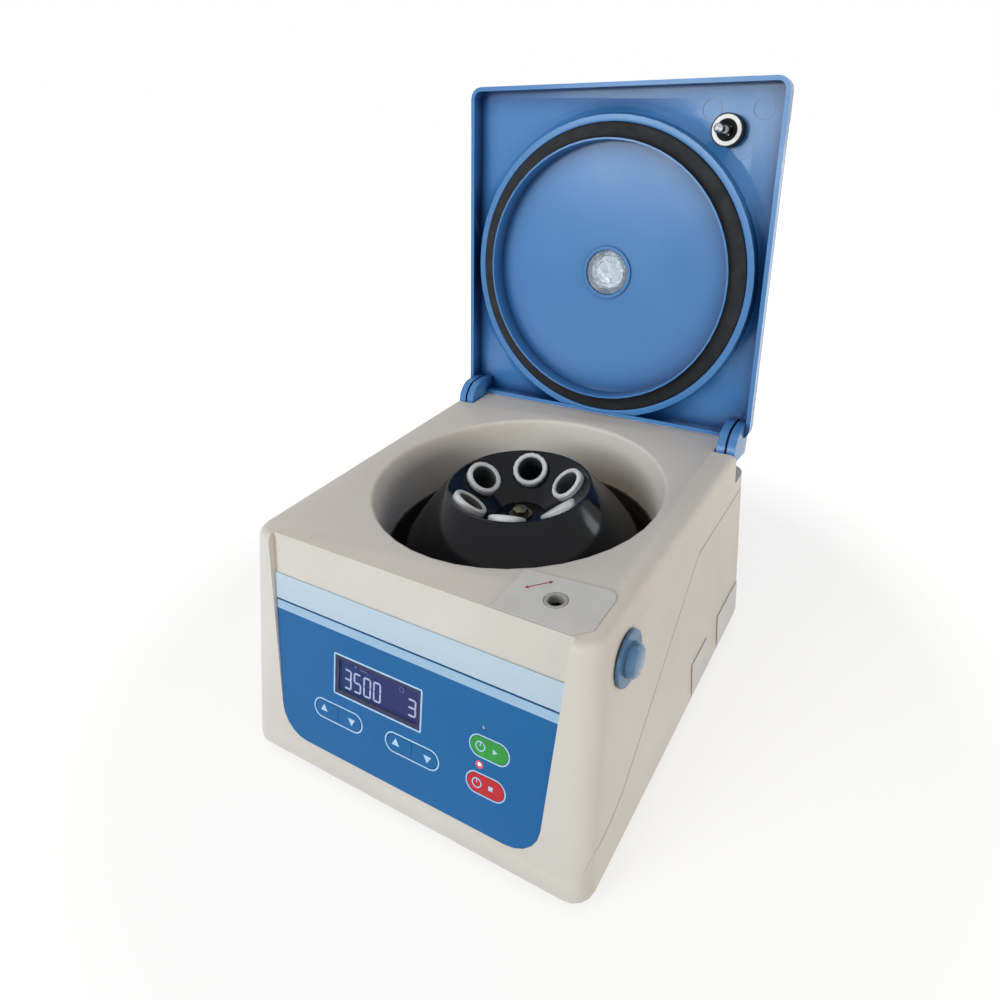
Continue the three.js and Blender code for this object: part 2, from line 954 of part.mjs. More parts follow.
function buildBaseShell() {
  let body = shell.intersect(seamSide(false));
  const floor = housing.wall - smallest;
  const seat = motorSeatHeight();
  for (let i = 0; i < damper.count; i += 1) {
    const [x, y] = damperPlace(i);
    body = join(body, solid(disc(damper.pillarRadius, floor - smallest, seat, x, y, steps.small)));
  }
  for (const [x, y] of mainBoardPosts()) {
    const top = floor + mainBoard.postHeight;
    const post = disc(mainBoard.postRadius, floor - smallest, top, x, y, steps.tiny);
    body = join(body, solid(post));
  }
  const pad = transformerBox(0, 0);
  body = join(body, solid(box(...pad, floor - smallest, floor + transformer.padHeight)));
  const rear = housing.depth / 2;
  const entryHalf = powerEntry.width / 2 + seatGap;
  body = cut(body, solid(box(
    powerEntry.centreX - entryHalf, powerEntry.centreX + entryHalf,
    rear - housing.wall - cutOverrun, rear + cutOverrun,
    powerEntry.centreHeight - powerEntry.height / 2 - seatGap,
    powerEntry.centreHeight + powerEntry.height / 2 + seatGap,
  )));
  for (let i = 0; i < vent.count; i += 1) {
    const x = vent.centreX + (i - (vent.count - 1) / 2) * vent.pitch;
    body = cut(body, solid(box(
      x - vent.width / 2, x + vent.width / 2,
      rear - housing.wall - cutOverrun, rear + cutOverrun,
      vent.centreHeight - vent.height / 2, vent.centreHeight + vent.height / 2,
    )));
  }
  for (const [x, y] of footPlaces()) {
    const holeTop = housing.wall + cutOverrun;
    const hole = disc(foot.spigotRadius + seatGap, -cutOverrun, holeTop, x, y, steps.small);
    body = cut(body, solid(hole));
  }
  return body;
}

function motorSeatHeight() {
  return motor.canTop + motor.bellThickness + seatGap - damper.height - seatGap;
}

function damperPlace(i) {
  const turn = THREE.MathUtils.degToRad(damper.firstAngle) + 2 * Math.PI * i / damper.count;
  return [damper.placeRadius * Math.cos(turn), damper.placeRadius * Math.sin(turn)];
}

function mainBoardPosts() {
  const x = mainBoard.width / 2 - mainBoard.postInset;
  const y = mainBoard.depth / 2 - mainBoard.postInset;
  return [[-x, -y], [x, -y], [x, y], [-x, y]].map(([px, py]) => [px, mainBoard.centreY + py]);
}

function transformerBox(insetX, insetY) {
  return [
    transformer.centreX - transformer.width / 2 + insetX,
    transformer.centreX + transformer.width / 2 - insetX,
    housing.depth / 2 - transformer.rearInset - transformer.depth / 2 + insetY,
    housing.depth / 2 - transformer.rearInset + transformer.depth / 2 - insetY,
  ];
}

function footPlaces() {
  const x = halfWidthAt(0) - foot.insetX;
  const front = frontAt(0) + foot.frontInset;
  const rear = housing.depth / 2 - foot.rearInset;
  return [[-x, front], [x, front], [x, rear], [-x, rear]];
}

// Front panel pieces, in the panel's own frame

function buildOverlay() {
  const low = seatGap;
  const top = upPanel(overlay.topHeight);
  const sheet = prism(
    panelOutline(-overlay.margin, 0, top, panel.footRadius - overlay.margin),
    overlay.thickness,
  ).translate(0, 0, low);
  let body = solid(sheet);
  const hole = (outline, x, height) => solid(prism(outline, overlay.thickness + 2 * cutOverrun)
    .translate(x, upPanel(height), -cutOverrun));
  const clear = keypad.splitGap;
  for (const key of keys.filter((item) => item.half >= 0)) {
    body = cut(body, hole(pillOutline(...keySize(key, clear)), key.x, keyHeight(key)));
  }
  for (const item of lamps) {
    body = cut(body, hole(circleOutline(lamp.radius + lamp.clearance, steps.tiny), item.x, item.height));
  }
  const half = [display.windowWidth / 2 + seatGap, display.windowHeight / 2 + seatGap];
  const outline = roundedOutline(-half[0], half[0], -half[1], half[1], display.windowRadius + seatGap);
  return cut(body, hole(outline, display.centreX, display.centreHeight));
}

function buildHeader() {
  const low = upPanel(overlay.topHeight) + header.lineGap;
  const outline = panelOutline(-overlay.margin, low, low + header.height, 0);
  return prism(outline, header.thickness).translate(0, 0, seatGap);
}

function buildKey(key) {
  const outer = solid(prism(pillOutline(...keySize(key, 0)), keypad.padThickness));
  const width = keySize(key, 0)[0];
  let pad = outer;
  if (key.half !== 0) {
    const inner = keypad.splitGap / 2;
    const keep = box(
      key.half > 0 ? inner : -width,
      key.half > 0 ? width : -inner,
      -width,
      width,
      -cutOverrun,
      cutOverrun,
    );
    pad = outer.intersect(solid(keep));
  }
  const face = seatGap + overlay.thickness + keypad.padProud;
  const stem = disc(
    keypad.stemRadius,
    -keypad.stemLength,
    face - keypad.padThickness / 2,
    keyStemX(key) - key.x,
    0,
    steps.tiny,
  );
  return join(pad.translate([0, 0, face - keypad.padThickness]), solid(stem));
}

function buildLamp() {
  const top = seatGap + overlay.thickness;
  return turned([
    [0, top - lamp.length],
    [lamp.radius, top - lamp.length],
    [lamp.radius, top - lamp.radius / 3],
    [lamp.radius * lamp.tipShare, top],
    [0, top],
  ], steps.tiny);
}

function buildWindow() {
  const half = [display.windowWidth / 2, display.windowHeight / 2];
  const outline = roundedOutline(-half[0], half[0], -half[1], half[1], display.windowRadius);
  return prism(outline, display.windowThickness).translate(0, 0, seatGap);
}

function buildDisplayModule() {
  const x = display.windowWidth / 2 - display.moduleInset;
  const y = display.windowHeight / 2 - display.moduleInset;
  const low = -panelBoard.setBack + seatGap;
  return box(-x, x, -y, y, low, low + display.moduleDepth);
}

function buildPanelBoard() {
  const low = -panelBoard.setBack - panelBoard.thickness;
  const x = panelBoard.width / 2;
  const y = panelBoard.height / 2;
  const up = upPanel(panelBoard.centreHeight);
  let body = solid(box(
    panelBoard.centreX - x, panelBoard.centreX + x, up - y, up + y, low, -panelBoard.setBack,
  ));
  for (const key of keys) {
    const dome = disc(
      panelBoard.domeRadius,
      -panelBoard.setBack - panelBoard.thickness / 2,
      -panelBoard.setBack + panelBoard.domeRise,
      keyStemX(key),
      upPanel(keyHeight(key)),
      steps.tiny,
    );
    body = join(body, solid(dome));
  }
  return body;
}

// Deck pieces

function buildDeckPlate() {
  const frontY = striker.y - deckPlate.frontReach;
  const right = deckPlate.rightX;
  const corner = deckPlate.cornerRadius;
  const points = [
    [deckPlate.leftX, frontY],
    [right - deckPlate.chamfer, frontY],
    [right, frontY + deckPlate.chamfer],
  ];
  for (let i = 0; i <= steps.corner; i += 1) {
    const turn = (Math.PI / 2) * i / steps.corner;
    points.push([
      right - corner + corner * Math.cos(turn),
      deckPlate.rearY - corner + corner * Math.sin(turn),
    ]);
  }
  points.push([deckPlate.leftX, deckPlate.rearLeftY]);
  const sheet = solid(prism(points, deckPlate.thickness).translate(0, 0, housing.height + seatGap));
  const holeTop = housing.height + 2 * cutOverrun;
  const round = striker.bushFlange + seatGap;
  const hole = disc(round, housing.height, holeTop, striker.x, striker.y, steps.small);
  return cut(sheet, solid(hole));
}

function buildBush() {
  const top = housing.height + seatGap + striker.bushProud;
  const low = housing.height - striker.bushDepth;
  return turned([
    [striker.bushBore, low],
    [striker.bushRadius, low],
    [striker.bushRadius, housing.height + seatGap],
    [striker.bushFlange, housing.height + seatGap],
    [striker.bushFlange - striker.bushProud / 2, top],
    [striker.bushBore + striker.bushProud / 2, top],
    [striker.bushBore, top - striker.bushProud / 2],
  ], steps.medium).translate(striker.x, striker.y, 0);
}

// Release button, laid along X from the side wall
const bezelBack = sideAtButton + seatGap + housing.sideDraft * button.bezelRadius / housing.height;
const bezelFace = bezelBack + button.bezelThickness;
const sleeveEnd = sideAtButton - button.sleeveDepth;
const shoulderFace = sleeveEnd - seatGap;
const springSeat = latch.wallX + latch.wallThickness;

function buildBezel() {
  const bore = button.capRadius + button.sleeveClearance;
  const edge = button.bezelProud / 2;
  return alongX(turned([
    [bore, 0],
    [button.sleeveRadius, 0],
    [button.sleeveRadius, bezelBack - sleeveEnd],
    [button.bezelRadius, bezelBack - sleeveEnd],
    [button.bezelRadius, bezelFace - sleeveEnd - edge],
    [button.bezelRadius - edge, bezelFace - sleeveEnd],
    [bore, bezelFace - sleeveEnd],
  ], steps.medium), sleeveEnd, button.y, buttonHeight);
}

function buildButtonCap() {
  const back = shoulderFace - button.shoulderThickness;
  const face = bezelFace + button.capProud;
  const edge = button.capEdge;
  const cap = alongX(turned([
    [0, 0],
    [button.shoulderRadius, 0],
    [button.shoulderRadius, button.shoulderThickness],
    [button.capRadius, button.shoulderThickness],
    ...quarter(button.capRadius - edge, face - back - edge, edge, 0, Math.PI / 2),
    [0, face - back],
  ], steps.medium), back, button.y, buttonHeight);
  const rodStart = button.fingerReach + button.fingerThickness / 2;
  const rod = alongX(
    disc(button.rodRadius, 0, back - rodStart + button.shoulderThickness / 2, 0, 0, steps.small),
    rodStart, button.y, buttonHeight,
  );
  const finger = box(
    button.fingerReach, button.fingerReach + button.fingerThickness,
    button.fingerY - button.fingerWidth / 2, button.fingerY + button.fingerWidth / 2,
    buttonHeight - button.rodRadius, housing.height - button.fingerTopGap,
  );
  return join(solid(cap), solid(rod), solid(finger));
}

// One unbroken wire wound between the bracket's wall and the button's shoulder.
function buildButtonSpring() {
  const start = springSeat + seatGap + buttonSpring.wire / 2;
  const end = shoulderFace - button.shoulderThickness - seatGap - buttonSpring.wire / 2;
  const count = buttonSpring.turns * buttonSpring.stepsPerTurn;
  const rings = [];
  const centres = [];
  for (let i = 0; i <= count; i += 1) {
    const turn = 2 * Math.PI * i / buttonSpring.stepsPerTurn;
    const out = new THREE.Vector3(0, Math.cos(turn), Math.sin(turn));
    const centre = new THREE.Vector3(start + (end - start) * i / count, 0, 0);
    centre.addScaledVector(out, buttonSpring.coilRadius);
    centres.push(centre);
    const ring = [];
    for (let s = 0; s < buttonSpring.sides; s += 1) {
      const round = 2 * Math.PI * s / buttonSpring.sides;
      const point = centre.clone().addScaledVector(out, buttonSpring.wire / 2 * Math.cos(round));
      point.x += buttonSpring.wire / 2 * Math.sin(round);
      ring.push(point);
    }
    rings.push(ring);
  }
  let least = Infinity;
  for (let i = 0; i < centres.length; i += 1) {
    for (let k = i + buttonSpring.stepsPerTurn / 2; k < centres.length; k += 1) {
      least = Math.min(least, centres[i].distanceTo(centres[k]) - buttonSpring.wire);
    }
  }
  console.log(`button_spring: least gap to itself ${least.toFixed(2)} mm`);
  return skinOver(rings).translate(0, button.y, buttonHeight);
}

// A closed skin over rings of points in space.
function skinOver(rings) {
  const count = rings[0].length;
  const place = rings.flat().flatMap((point) => [point.x, point.y, point.z]);
  const index = [];
  for (let r = 0; r + 1 < rings.length; r += 1) {
    for (let i = 0; i < count; i += 1) {
      const a = r * count + i;
      const b = r * count + (i + 1) % count;
      index.push(a, b, b + count, a, b + count, a + count);
    }
  }
  const last = (rings.length - 1) * count;
  for (let i = 1; i + 1 < count; i += 1) {
    index.push(0, i + 1, i);
    index.push(last, last + i, last + i + 1);
  }
  const geometry = new THREE.BufferGeometry();
  geometry.setAttribute('position', new THREE.BufferAttribute(new Float32Array(place), 3));
  geometry.setIndex(index);
  return geometry;
}

function buildLatchBracket() {
  const right = latch.wallX + latch.wallThickness;
  const top = deckUnderside - seatGap;
  let body = solid(box(latch.plateLeftX, right, latch.plateFrontY, latch.plateRearY, plateUnder, top));
  const foot = buttonHeight - latch.wallReach;
  body = join(body, solid(box(latch.wallX, right, latch.plateFrontY, latch.plateRearY, foot, top)));
  const postFoot = pawlFoot - seatGap;
  body = join(body, solid(turned([
    [0, postFoot - latch.headThickness],
    [latch.headRadius, postFoot - latch.headThickness],
    [latch.headRadius, postFoot],
    [latch.postRadius, postFoot],
    [latch.postRadius, pawlTop + seatGap],
    [latch.shoulderRadius, pawlTop + seatGap],
    [latch.shoulderRadius, plateUnder + latch.plateThickness / 2],
    [0, plateUnder + latch.plateThickness / 2],
  ], steps.small).translate(latch.pivotX, latch.pivotY, 0)));
  const holeFoot = plateUnder - cutOverrun;
  const hole = disc(latch.pinHoleRadius, holeFoot, top + cutOverrun, striker.x, striker.y, steps.small);
  const rodHole = disc(latch.rodHoleRadius, 0, latch.wallThickness + 2 * cutOverrun, 0, 0, steps.small);
  return cut(body, solid(hole), solid(alongX(rodHole, latch.wallX - cutOverrun, button.y, buttonHeight)));
}

// The pawl, drawn as it holds the pin's neck and then swung back by its open angle.
function buildPawl() {
  const reach = Math.hypot(striker.x - latch.pivotX, striker.y - latch.pivotY);
  const outline = [
    [-pawl.backLength, -pawl.width + pawl.lip],
    [reach + pawl.frontMargin, -pawl.width + pawl.lip],
    [reach + pawl.frontMargin, pawl.lip],
    [pawl.shoulderAt, pawl.lip],
    [pawl.backLength, latch.postRadius + pawl.bossMargin],
    [-pawl.backLength, latch.postRadius + pawl.bossMargin],
  ];
  const plate = solid(prism(outline, latch.pawlThickness));
  const bore = disc(latch.postRadius + latch.boreClearance, -cutOverrun, 2 * cutOverrun, 0, 0, steps.small);
  const round = disc(pawl.notchRadius, -cutOverrun, 2 * cutOverrun, reach, 0, steps.small);
  const way = box(
    reach - pawl.notchRadius, reach + pawl.notchRadius,
    0, pawl.lip + cutOverrun, -cutOverrun, 2 * cutOverrun,
  );
  return cut(plate, solid(bore), solid(round), solid(way));
}

function pawlAngle() {
  const hold = Math.atan2(striker.y - latch.pivotY, striker.x - latch.pivotX);
  return hold - THREE.MathUtils.degToRad(pawl.openAngle);
}

// The switch's plunger stands just clear of the ball on the pin of the closed lid.
function buildLidSwitch() {
  const top = plateUnder - seatGap;
  const back = latch.plateFrontY;
  const ballHeight = housing.height - strikerPin.ballReach - strikerPin.ballRadius;
  const reach = striker.y - strikerPin.ballRadius - lidSwitch.plungerGap;
  const body = box(
    striker.x - lidSwitch.length / 2, striker.x + lidSwitch.length / 2,
    back, back + lidSwitch.width, top - lidSwitch.height, top,
  );
  const length = reach - back - lidSwitch.width / 2;
  const plunger = disc(lidSwitch.plungerRadius, 0, length, 0, 0, steps.tiny).rotateX(-Math.PI / 2);
  return join(solid(body), solid(plunger.translate(striker.x, reach - length, ballHeight)));
}

// Lid pieces, written closed from the hinge's axis: y runs to the front as it falls below 0.

function lidRings(inset, low, high, edge) {
  const ring = (z, more) => ({
    z,
    points: roundedOutline(
      -lid.halfWidth + inset + more, lid.halfWidth - inset - more,
      -lid.length + inset + more, -lid.rearStart - inset - more,
      Math.max(lid.cornerRadius - inset, lid.rimWall / 3),
    ),
  });
  const rings = [ring(low, 0)];
  if (!edge) return [...rings, ring(high, 0)];
  for (let i = 0; i <= steps.edge; i += 1) {
    const turn = (Math.PI / 2) * i / steps.edge;
    rings.push(ring(high - edge + edge * Math.sin(turn), edge * (1 - Math.cos(turn))));
  }
  rings.push(ring(high + lid.crown, lid.crownInset));
  return rings;
}

// The ear's side view, from the hinge's axis.
function earOutline() {
  const tip = ear.tipRadius;
  return [
    [-ear.forward, trayFloor + lid.rimWall / 2],
    [-ear.forward, pinTop],
    ...quarter(0, 0, ear.frontRadius, -Math.PI, -Math.PI / 2, steps.corner),
    ...quarter(ear.behind - tip, tip - ear.frontRadius, tip, -Math.PI / 2, 0, steps.corner),
    [ear.behind, pinTop + lid.depth - lid.edgeRadius],
    [-lid.rearStart - lid.rimWall, trayFloor + lid.rimWall / 2],
  ];
}

// A band along the ear's front, from the tray to the tip.
function earSlot() {
  const depth = ear.slotDepth;
  return [
    [-ear.forward - depth, trayFloor],
    ...quarter(0, 0, ear.frontRadius + depth, -Math.PI, -Math.PI / 2, steps.corner),
    ...quarter(0, 0, ear.frontRadius - depth, -Math.PI / 2, -Math.PI, steps.corner),
    [-ear.forward + depth, trayFloor],
  ];
}

function buildLid() {
  const top = pinTop + lid.depth;
  const outer = solid(loft(lidRings(0, pinTop, top, lid.edgeRadius)));
  const bound = solid(loft(lidRings(0, pinTop - lidRing.lipDrop, top, lid.edgeRadius)));
  const tray = solid(loft(lidRings(lid.rimWall, pinTop - cutOverrun, trayFloor, 0)));
  let body = cut(outer, tray);
  const face = pinTop + lidRing.lipRecess;
  const crest = pinTop - lidRing.lipDrop;
  const wallEnd = face + lidRing.wallDepth;
  const grooveFloor = face + lidRing.grooveDepth;
  const ring = solid(turned([
    [0, innerFloor],
    [lidRing.floorRadius, innerFloor],
    [lidRing.lipInner, crest],
    [lidRing.grooveInner, crest],
    [lidRing.grooveInner, grooveFloor],
    [lidRing.grooveOuter, grooveFloor],
    [lidRing.grooveOuter, face],
    [lidRing.lipOuter, face],
    [lidRing.wallFoot, wallEnd],
    ...lidRing.flankShares.map((share) => [
      lidRing.wallFoot + share * (lidRing.flankFoot - lidRing.wallFoot),
      trayFloor - (1 - share) ** 2 * (trayFloor - wallEnd),
    ]),
    [lidRing.flankFoot, trayFloor + smallest],
    [lidRing.flankFoot, trayFloor + lid.rimWall / 2],
    [0, trayFloor + lid.rimWall / 2],
  ], steps.ring).translate(0, -hingeToAxis, 0));
  body = join(body, ring.intersect(bound));
  body = cut(
    body,
    solid(turned([
      [lidRing.grooveInner, pinTop - cutOverrun],
      [lidRing.grooveOuter, pinTop - cutOverrun],
      [lidRing.grooveOuter, grooveFloor],
      [lidRing.grooveInner, grooveFloor],
    ], steps.ring).translate(0, -hingeToAxis, 0)),
    solid(disc(
      strikerCup.outerRadius + seatGap, pinTop - cutOverrun, trayFloor,
      striker.x, striker.y - lid.hingeY, steps.medium,
    )),
  );
  const windowCollar = disc(
    sightWindow.collarRadius, innerFloor - sightWindow.collarRise, innerFloor + lid.rimWall / 2,
    0, -hingeToAxis, steps.medium,
  );
  const windowRecess = disc(
    sightWindow.flangeRadius + seatGap, innerFloor - 2 * cutOverrun, innerFloor + sightWindow.recessDepth,
    0, -hingeToAxis, steps.medium,
  );
  const windowBore = disc(
    sightWindow.boreRadius, innerFloor, top + lid.crown + cutOverrun,
    0, -hingeToAxis, steps.medium,
  );
  body = join(body, solid(windowCollar));
  body = cut(body, solid(windowRecess), solid(windowBore));
  const earMiddle = (earInnerX + earOuterX) / 2;
  for (const side of [-1, 1]) {
    const [x0, x1] = side > 0 ? [earInnerX, earOuterX] : [-earOuterX, -earInnerX];
    const bore = disc(ear.boreRadius, 0, pinOuterX + seatGap - notchInnerX, 0, 0, steps.small);
    const start = side > 0 ? notchInnerX : -pinOuterX - seatGap;
    const slotX = side * earMiddle - ear.slotWidth / 2;
    body = join(body, solid(sidePrism(earOutline(), x0, x1)));
    const slot = solid(sidePrism(earSlot(), slotX, slotX + ear.slotWidth));
    body = cut(body, solid(alongX(bore, start, 0, 0)), slot);
  }
  for (const [x, y] of mouldMarks()) {
    const mark = disc(
      mouldMark.radius, trayFloor - mouldMark.depth, trayFloor + mouldMark.depth, x, y, steps.small,
    );
    body = cut(body, solid(mark));
  }
  return body;
}

function mouldMarks() {
  const strikerY = striker.y - lid.hingeY;
  const span = [lid.halfWidth - striker.x, lid.length + strikerY];
  return mouldMark.shares.map(([across, along]) => [
    striker.x - across * span[0],
    strikerY + along * span[1],
  ]);
}

// Its nose follows the rounded mouth of the chamber, which it clears when the lid is down.
function buildGasket() {
  const face = housing.height + deckPlate.thickness + 2 * seatGap - lid.hingeHeight;
  const back = pinTop + lidRing.lipRecess + lidRing.grooveDepth - seatGap;
  const nose = pinTop - gasket.noseDrop;
  const mouthR = collar.mouthRadius + collar.lipRadius;
  const mouthZ = housing.height - lid.hingeHeight - collar.lipRadius;
  const reach = collar.lipRadius + gasket.mouthClearance;
  const drop = gasket.crownDrop;
  return turned([
    [gasket.innerRadius, back],
    [gasket.innerRadius, nose],
    ...quarter(mouthR, mouthZ, reach, Math.PI, Math.PI / 2).slice(0, -1),
    [mouthR, face],
    [gasket.outerRadius - drop, face],
    [gasket.outerRadius, face + drop],
    [gasket.outerRadius, back],
  ], steps.ring).translate(0, -hingeToAxis, 0);
}

function buildSightWindow() {
  const face = innerFloor + sightWindow.recessDepth - seatGap;
  const inner = face - sightWindow.flangeThickness;
  const outer = pinTop + lid.depth + lid.crown / 2;
  const spigot = sightWindow.boreRadius - sightWindow.spigotClearance;
  const chamfer = sightWindow.flangeThickness / 4;
  return turned([
    [0, inner + chamfer],
    [sightWindow.flangeRadius - 4 * chamfer, inner],
    [sightWindow.flangeRadius, inner + chamfer],
    [sightWindow.flangeRadius, face],
    [spigot, face],
    [spigot, outer - chamfer],
    [spigot - chamfer, outer],
    [0, outer],
  ], steps.medium).translate(0, -hingeToAxis, 0);
}

const strikerLocalY = striker.y - lid.hingeY;
const pinRoot = trayFloor - seatGap;
const cupBack = pinRoot;
const cupFace = pinTop + strikerCup.faceDepth;

// The ball's profile ends where it meets the neck.
function buildStrikerPin() {
  const ballCentre = housing.height - lid.hingeHeight - strikerPin.ballReach - strikerPin.ballRadius;
  const meet = Math.acos(strikerPin.neckRadius / strikerPin.ballRadius);
  const points = [[0, ballCentre - strikerPin.ballRadius]];
  for (let i = 1; i <= steps.corner + 1; i += 1) {
    const turn = -Math.PI / 2 + (Math.PI / 2 + meet) * i / (steps.corner + 1);
    points.push([
      strikerPin.ballRadius * Math.cos(turn),
      ballCentre + strikerPin.ballRadius * Math.sin(turn),
    ]);
  }
  const neckTop = ballCentre + strikerPin.neckLength + strikerPin.ballRadius;
  return turned([
    ...points,
    [strikerPin.neckRadius, neckTop],
    [strikerPin.stemRadius, neckTop + strikerPin.stemRadius / 2],
    [strikerPin.stemRadius, pinRoot - strikerPin.rootThickness],
    [strikerPin.rootRadius, pinRoot - strikerPin.rootThickness],
    [strikerPin.rootRadius, pinRoot],
    [0, pinRoot],
  ], steps.small).translate(striker.x, strikerLocalY, 0);
}

function buildStrikerCup() {
  const rootFace = pinRoot - strikerPin.rootThickness - seatGap;
  const rootSide = strikerPin.rootRadius + seatGap;
  const ringSeat = cupFace + strikerCup.ringThickness - strikerCup.ringProud + seatGap;
  return turned([
    [strikerCup.innerRadius, cupFace + strikerCup.dishDepth],
    [strikerCup.innerRadius, rootFace],
    [rootSide, rootFace],
    [rootSide, cupBack],
    [strikerCup.outerRadius, cupBack],
    [strikerCup.outerRadius, cupFace],
    [strikerCup.ringOuter + seatGap, cupFace],
    [strikerCup.ringOuter + seatGap, ringSeat],
    [strikerCup.ringInner - seatGap, ringSeat],
    [strikerCup.dishRadius, cupFace + seatGap],
  ], steps.medium).translate(striker.x, strikerLocalY, 0);
}

function buildStrikerRing() {
  const face = cupFace - strikerCup.ringProud;
  const edge = strikerCup.ringProud / 2;
  return turned([
    [strikerCup.ringInner, face + strikerCup.ringThickness],
    [strikerCup.ringOuter, face + strikerCup.ringThickness],
    [strikerCup.ringOuter, face + edge],
    [strikerCup.ringOuter - edge, face],
    [strikerCup.ringInner + edge, face],
    [strikerCup.ringInner, face + edge],
  ], steps.medium).translate(striker.x, strikerLocalY, 0);
}

// Chamber and rotor

function buildBowl() {
  const r = bowl.innerRadius;
  const c = bowl.cornerRadius;
  const top = collar.footHeight - seatGap;
  const low = bowl.floorHeight;
  const inside = quarter(r - c, low + c, c, -Math.PI / 2, 0, steps.corner);
  const outside = quarter(r - c, low + c, c + bowl.wall, 0, -Math.PI / 2, steps.corner);
  return turned([
    [bowl.shaftHole, low],
    ...inside,
    [r, top],
    [bowl.flangeRadius, top],
    [bowl.flangeRadius, top - bowl.wall],
    [r + bowl.wall, top - bowl.wall],
    ...outside,
    [bowl.shaftHole, low - bowl.wall],
  ], steps.large);
}

// The dish's cone stands square to the sleeves.
function buildRotorBody() {
  const t = rotor.wall;
  const coneSlope = (rotor.coneFootRadius - rotor.ringRadius) / (rotor.ringHeight - rotor.coneFootHeight);
  const coneShift = t * Math.hypot(1, coneSlope);
  const ringInner = rotor.ringRadius - rotor.ringWidth;
  const innerTop = rotor.ringHeight - 2 * t;
  const profile = [
    [rotor.boreRadius, rotor.dishFloorHeight],
    [rotor.dishFloorRadius, rotor.dishFloorHeight],
    [ringInner - rotor.ringWidth / 2, rotor.ringHeight - rotor.ringWidth / 2],
    [ringInner, rotor.ringHeight],
    [rotor.ringRadius - rotor.ringWidth / 3, rotor.ringHeight],
    [rotor.ringRadius + rotor.ringWidth / 4, rotor.ringHeight - rotor.ringWidth / 2],
    [rotor.coneFootRadius, rotor.coneFootHeight],
    [rotor.skirtRadius, rotor.skirtHeight],
    [rotor.skirtRadius, rotor.bottomHeight],
    [rotor.skirtRadius - t, rotor.bottomHeight],
    [rotor.skirtRadius - t, rotor.skirtHeight],
    [rotor.coneFootRadius - coneShift, rotor.coneFootHeight],
    [rotor.ringRadius + coneSlope * 2 * t - coneShift, innerTop],
    [ringInner - t, rotor.ringHeight - 2 * t],
    [rotor.dishFloorRadius + t / 2, rotor.dishFloorHeight - t],
    [rotor.hubRadius, rotor.dishFloorHeight - t],
    [rotor.hubRadius, rotor.hubHeight],
    [rotor.boreRadius, rotor.hubHeight],
  ];
  let body = solid(turned(profile, steps.large));
  for (let i = 0; i < sleeve.count; i += 1) {
    const tool = disc(
      sleeve.tubeRadius + sleeve.holeClearance,
      -sleeve.collarHeight - 3 * rotor.wall,
      -sleeve.collarHeight + 2 * rotor.wall,
      0,
      0,
      steps.sleeve,
    );
    const seat = disc(
      sleeve.collarRadius + sleeve.holeClearance,
      -sleeve.collarHeight - sleeve.holeClearance,
      sleeve.collarHeight,
      0,
      0,
      steps.sleeve,
    );
    body = cut(body, solid(tool.applyMatrix4(sleeveMatrix(i))), solid(seat.applyMatrix4(sleeveMatrix(i))));
  }
  return body;
}

function sleeveTurn(i) {
  return THREE.MathUtils.degToRad(sleeve.firstAngle + 90) + 2 * Math.PI * i / sleeve.count;
}

function sleeveMatrix(i) {
  const spoke = new THREE.Matrix4().makeRotationZ(sleeveTurn(i));
  const place = new THREE.Matrix4().makeTranslation(sleeve.mouthRadius, 0, sleeve.mouthHeight);
  const lean = new THREE.Matrix4().makeRotationY(-THREE.MathUtils.degToRad(sleeve.tilt));
  return spoke.multiply(place).multiply(lean);
}

function buildSleeve() {
  const edge = sleeve.collarEdge;
  const low = -sleeve.length;
  const wall = sleeve.tubeRadius - sleeve.boreRadius;
  return turned([
    [0, low],
    ...sleeve.footShares.map(([across, up]) => [sleeve.tubeRadius * across, low + sleeve.tubeRadius * up]),
    [sleeve.tubeRadius, low + sleeve.tubeRadius],
    [sleeve.tubeRadius, -sleeve.collarHeight],
    [sleeve.collarRadius, -sleeve.collarHeight],
    [sleeve.collarRadius, -edge],
    [sleeve.collarRadius - edge, 0],
    [sleeve.boreRadius + edge, 0],
    [sleeve.boreRadius, -edge],
    [sleeve.boreRadius, low + sleeve.tubeRadius],
    [sleeve.boreRadius * sleeve.boreFootShares[0], low + sleeve.tubeRadius * sleeve.boreFootShares[1]],
    [0, low + 2 * wall],
  ], steps.sleeve);
}

const washerFoot = rotor.dishFloorHeight + seatGap;
const nutFoot = washerFoot + rotorNut.washerThickness + seatGap;

function buildWasher() {
  const inner = rotor.boreRadius + seatGap / 2;
  return turned([
    [inner, washerFoot],
    [rotorNut.washerRadius, washerFoot],
    [rotorNut.washerRadius, washerFoot + rotorNut.washerThickness],
    [inner, washerFoot + rotorNut.washerThickness],
  ], steps.medium);
}

function buildNut() {
  const top = nutFoot + rotorNut.height;
  const bore = disc(
    motor.shaftRadius + seatGap, nutFoot - cutOverrun, top - rotorNut.capHeight / 2, 0, 0, steps.small,
  );
  const hexagon = turned([
    [0, nutFoot],
    [rotorNut.acrossRadius, nutFoot],
    [rotorNut.acrossRadius, top - rotorNut.capHeight / 4],
    [rotorNut.acrossRadius - rotorNut.capHeight / 4, top],
    [rotorNut.capRadius, top + rotorNut.capHeight / 3],
    [0, top + rotorNut.capHeight],
  ], 6);
  return cut(solid(hexagon), solid(bore));
}

// Motor

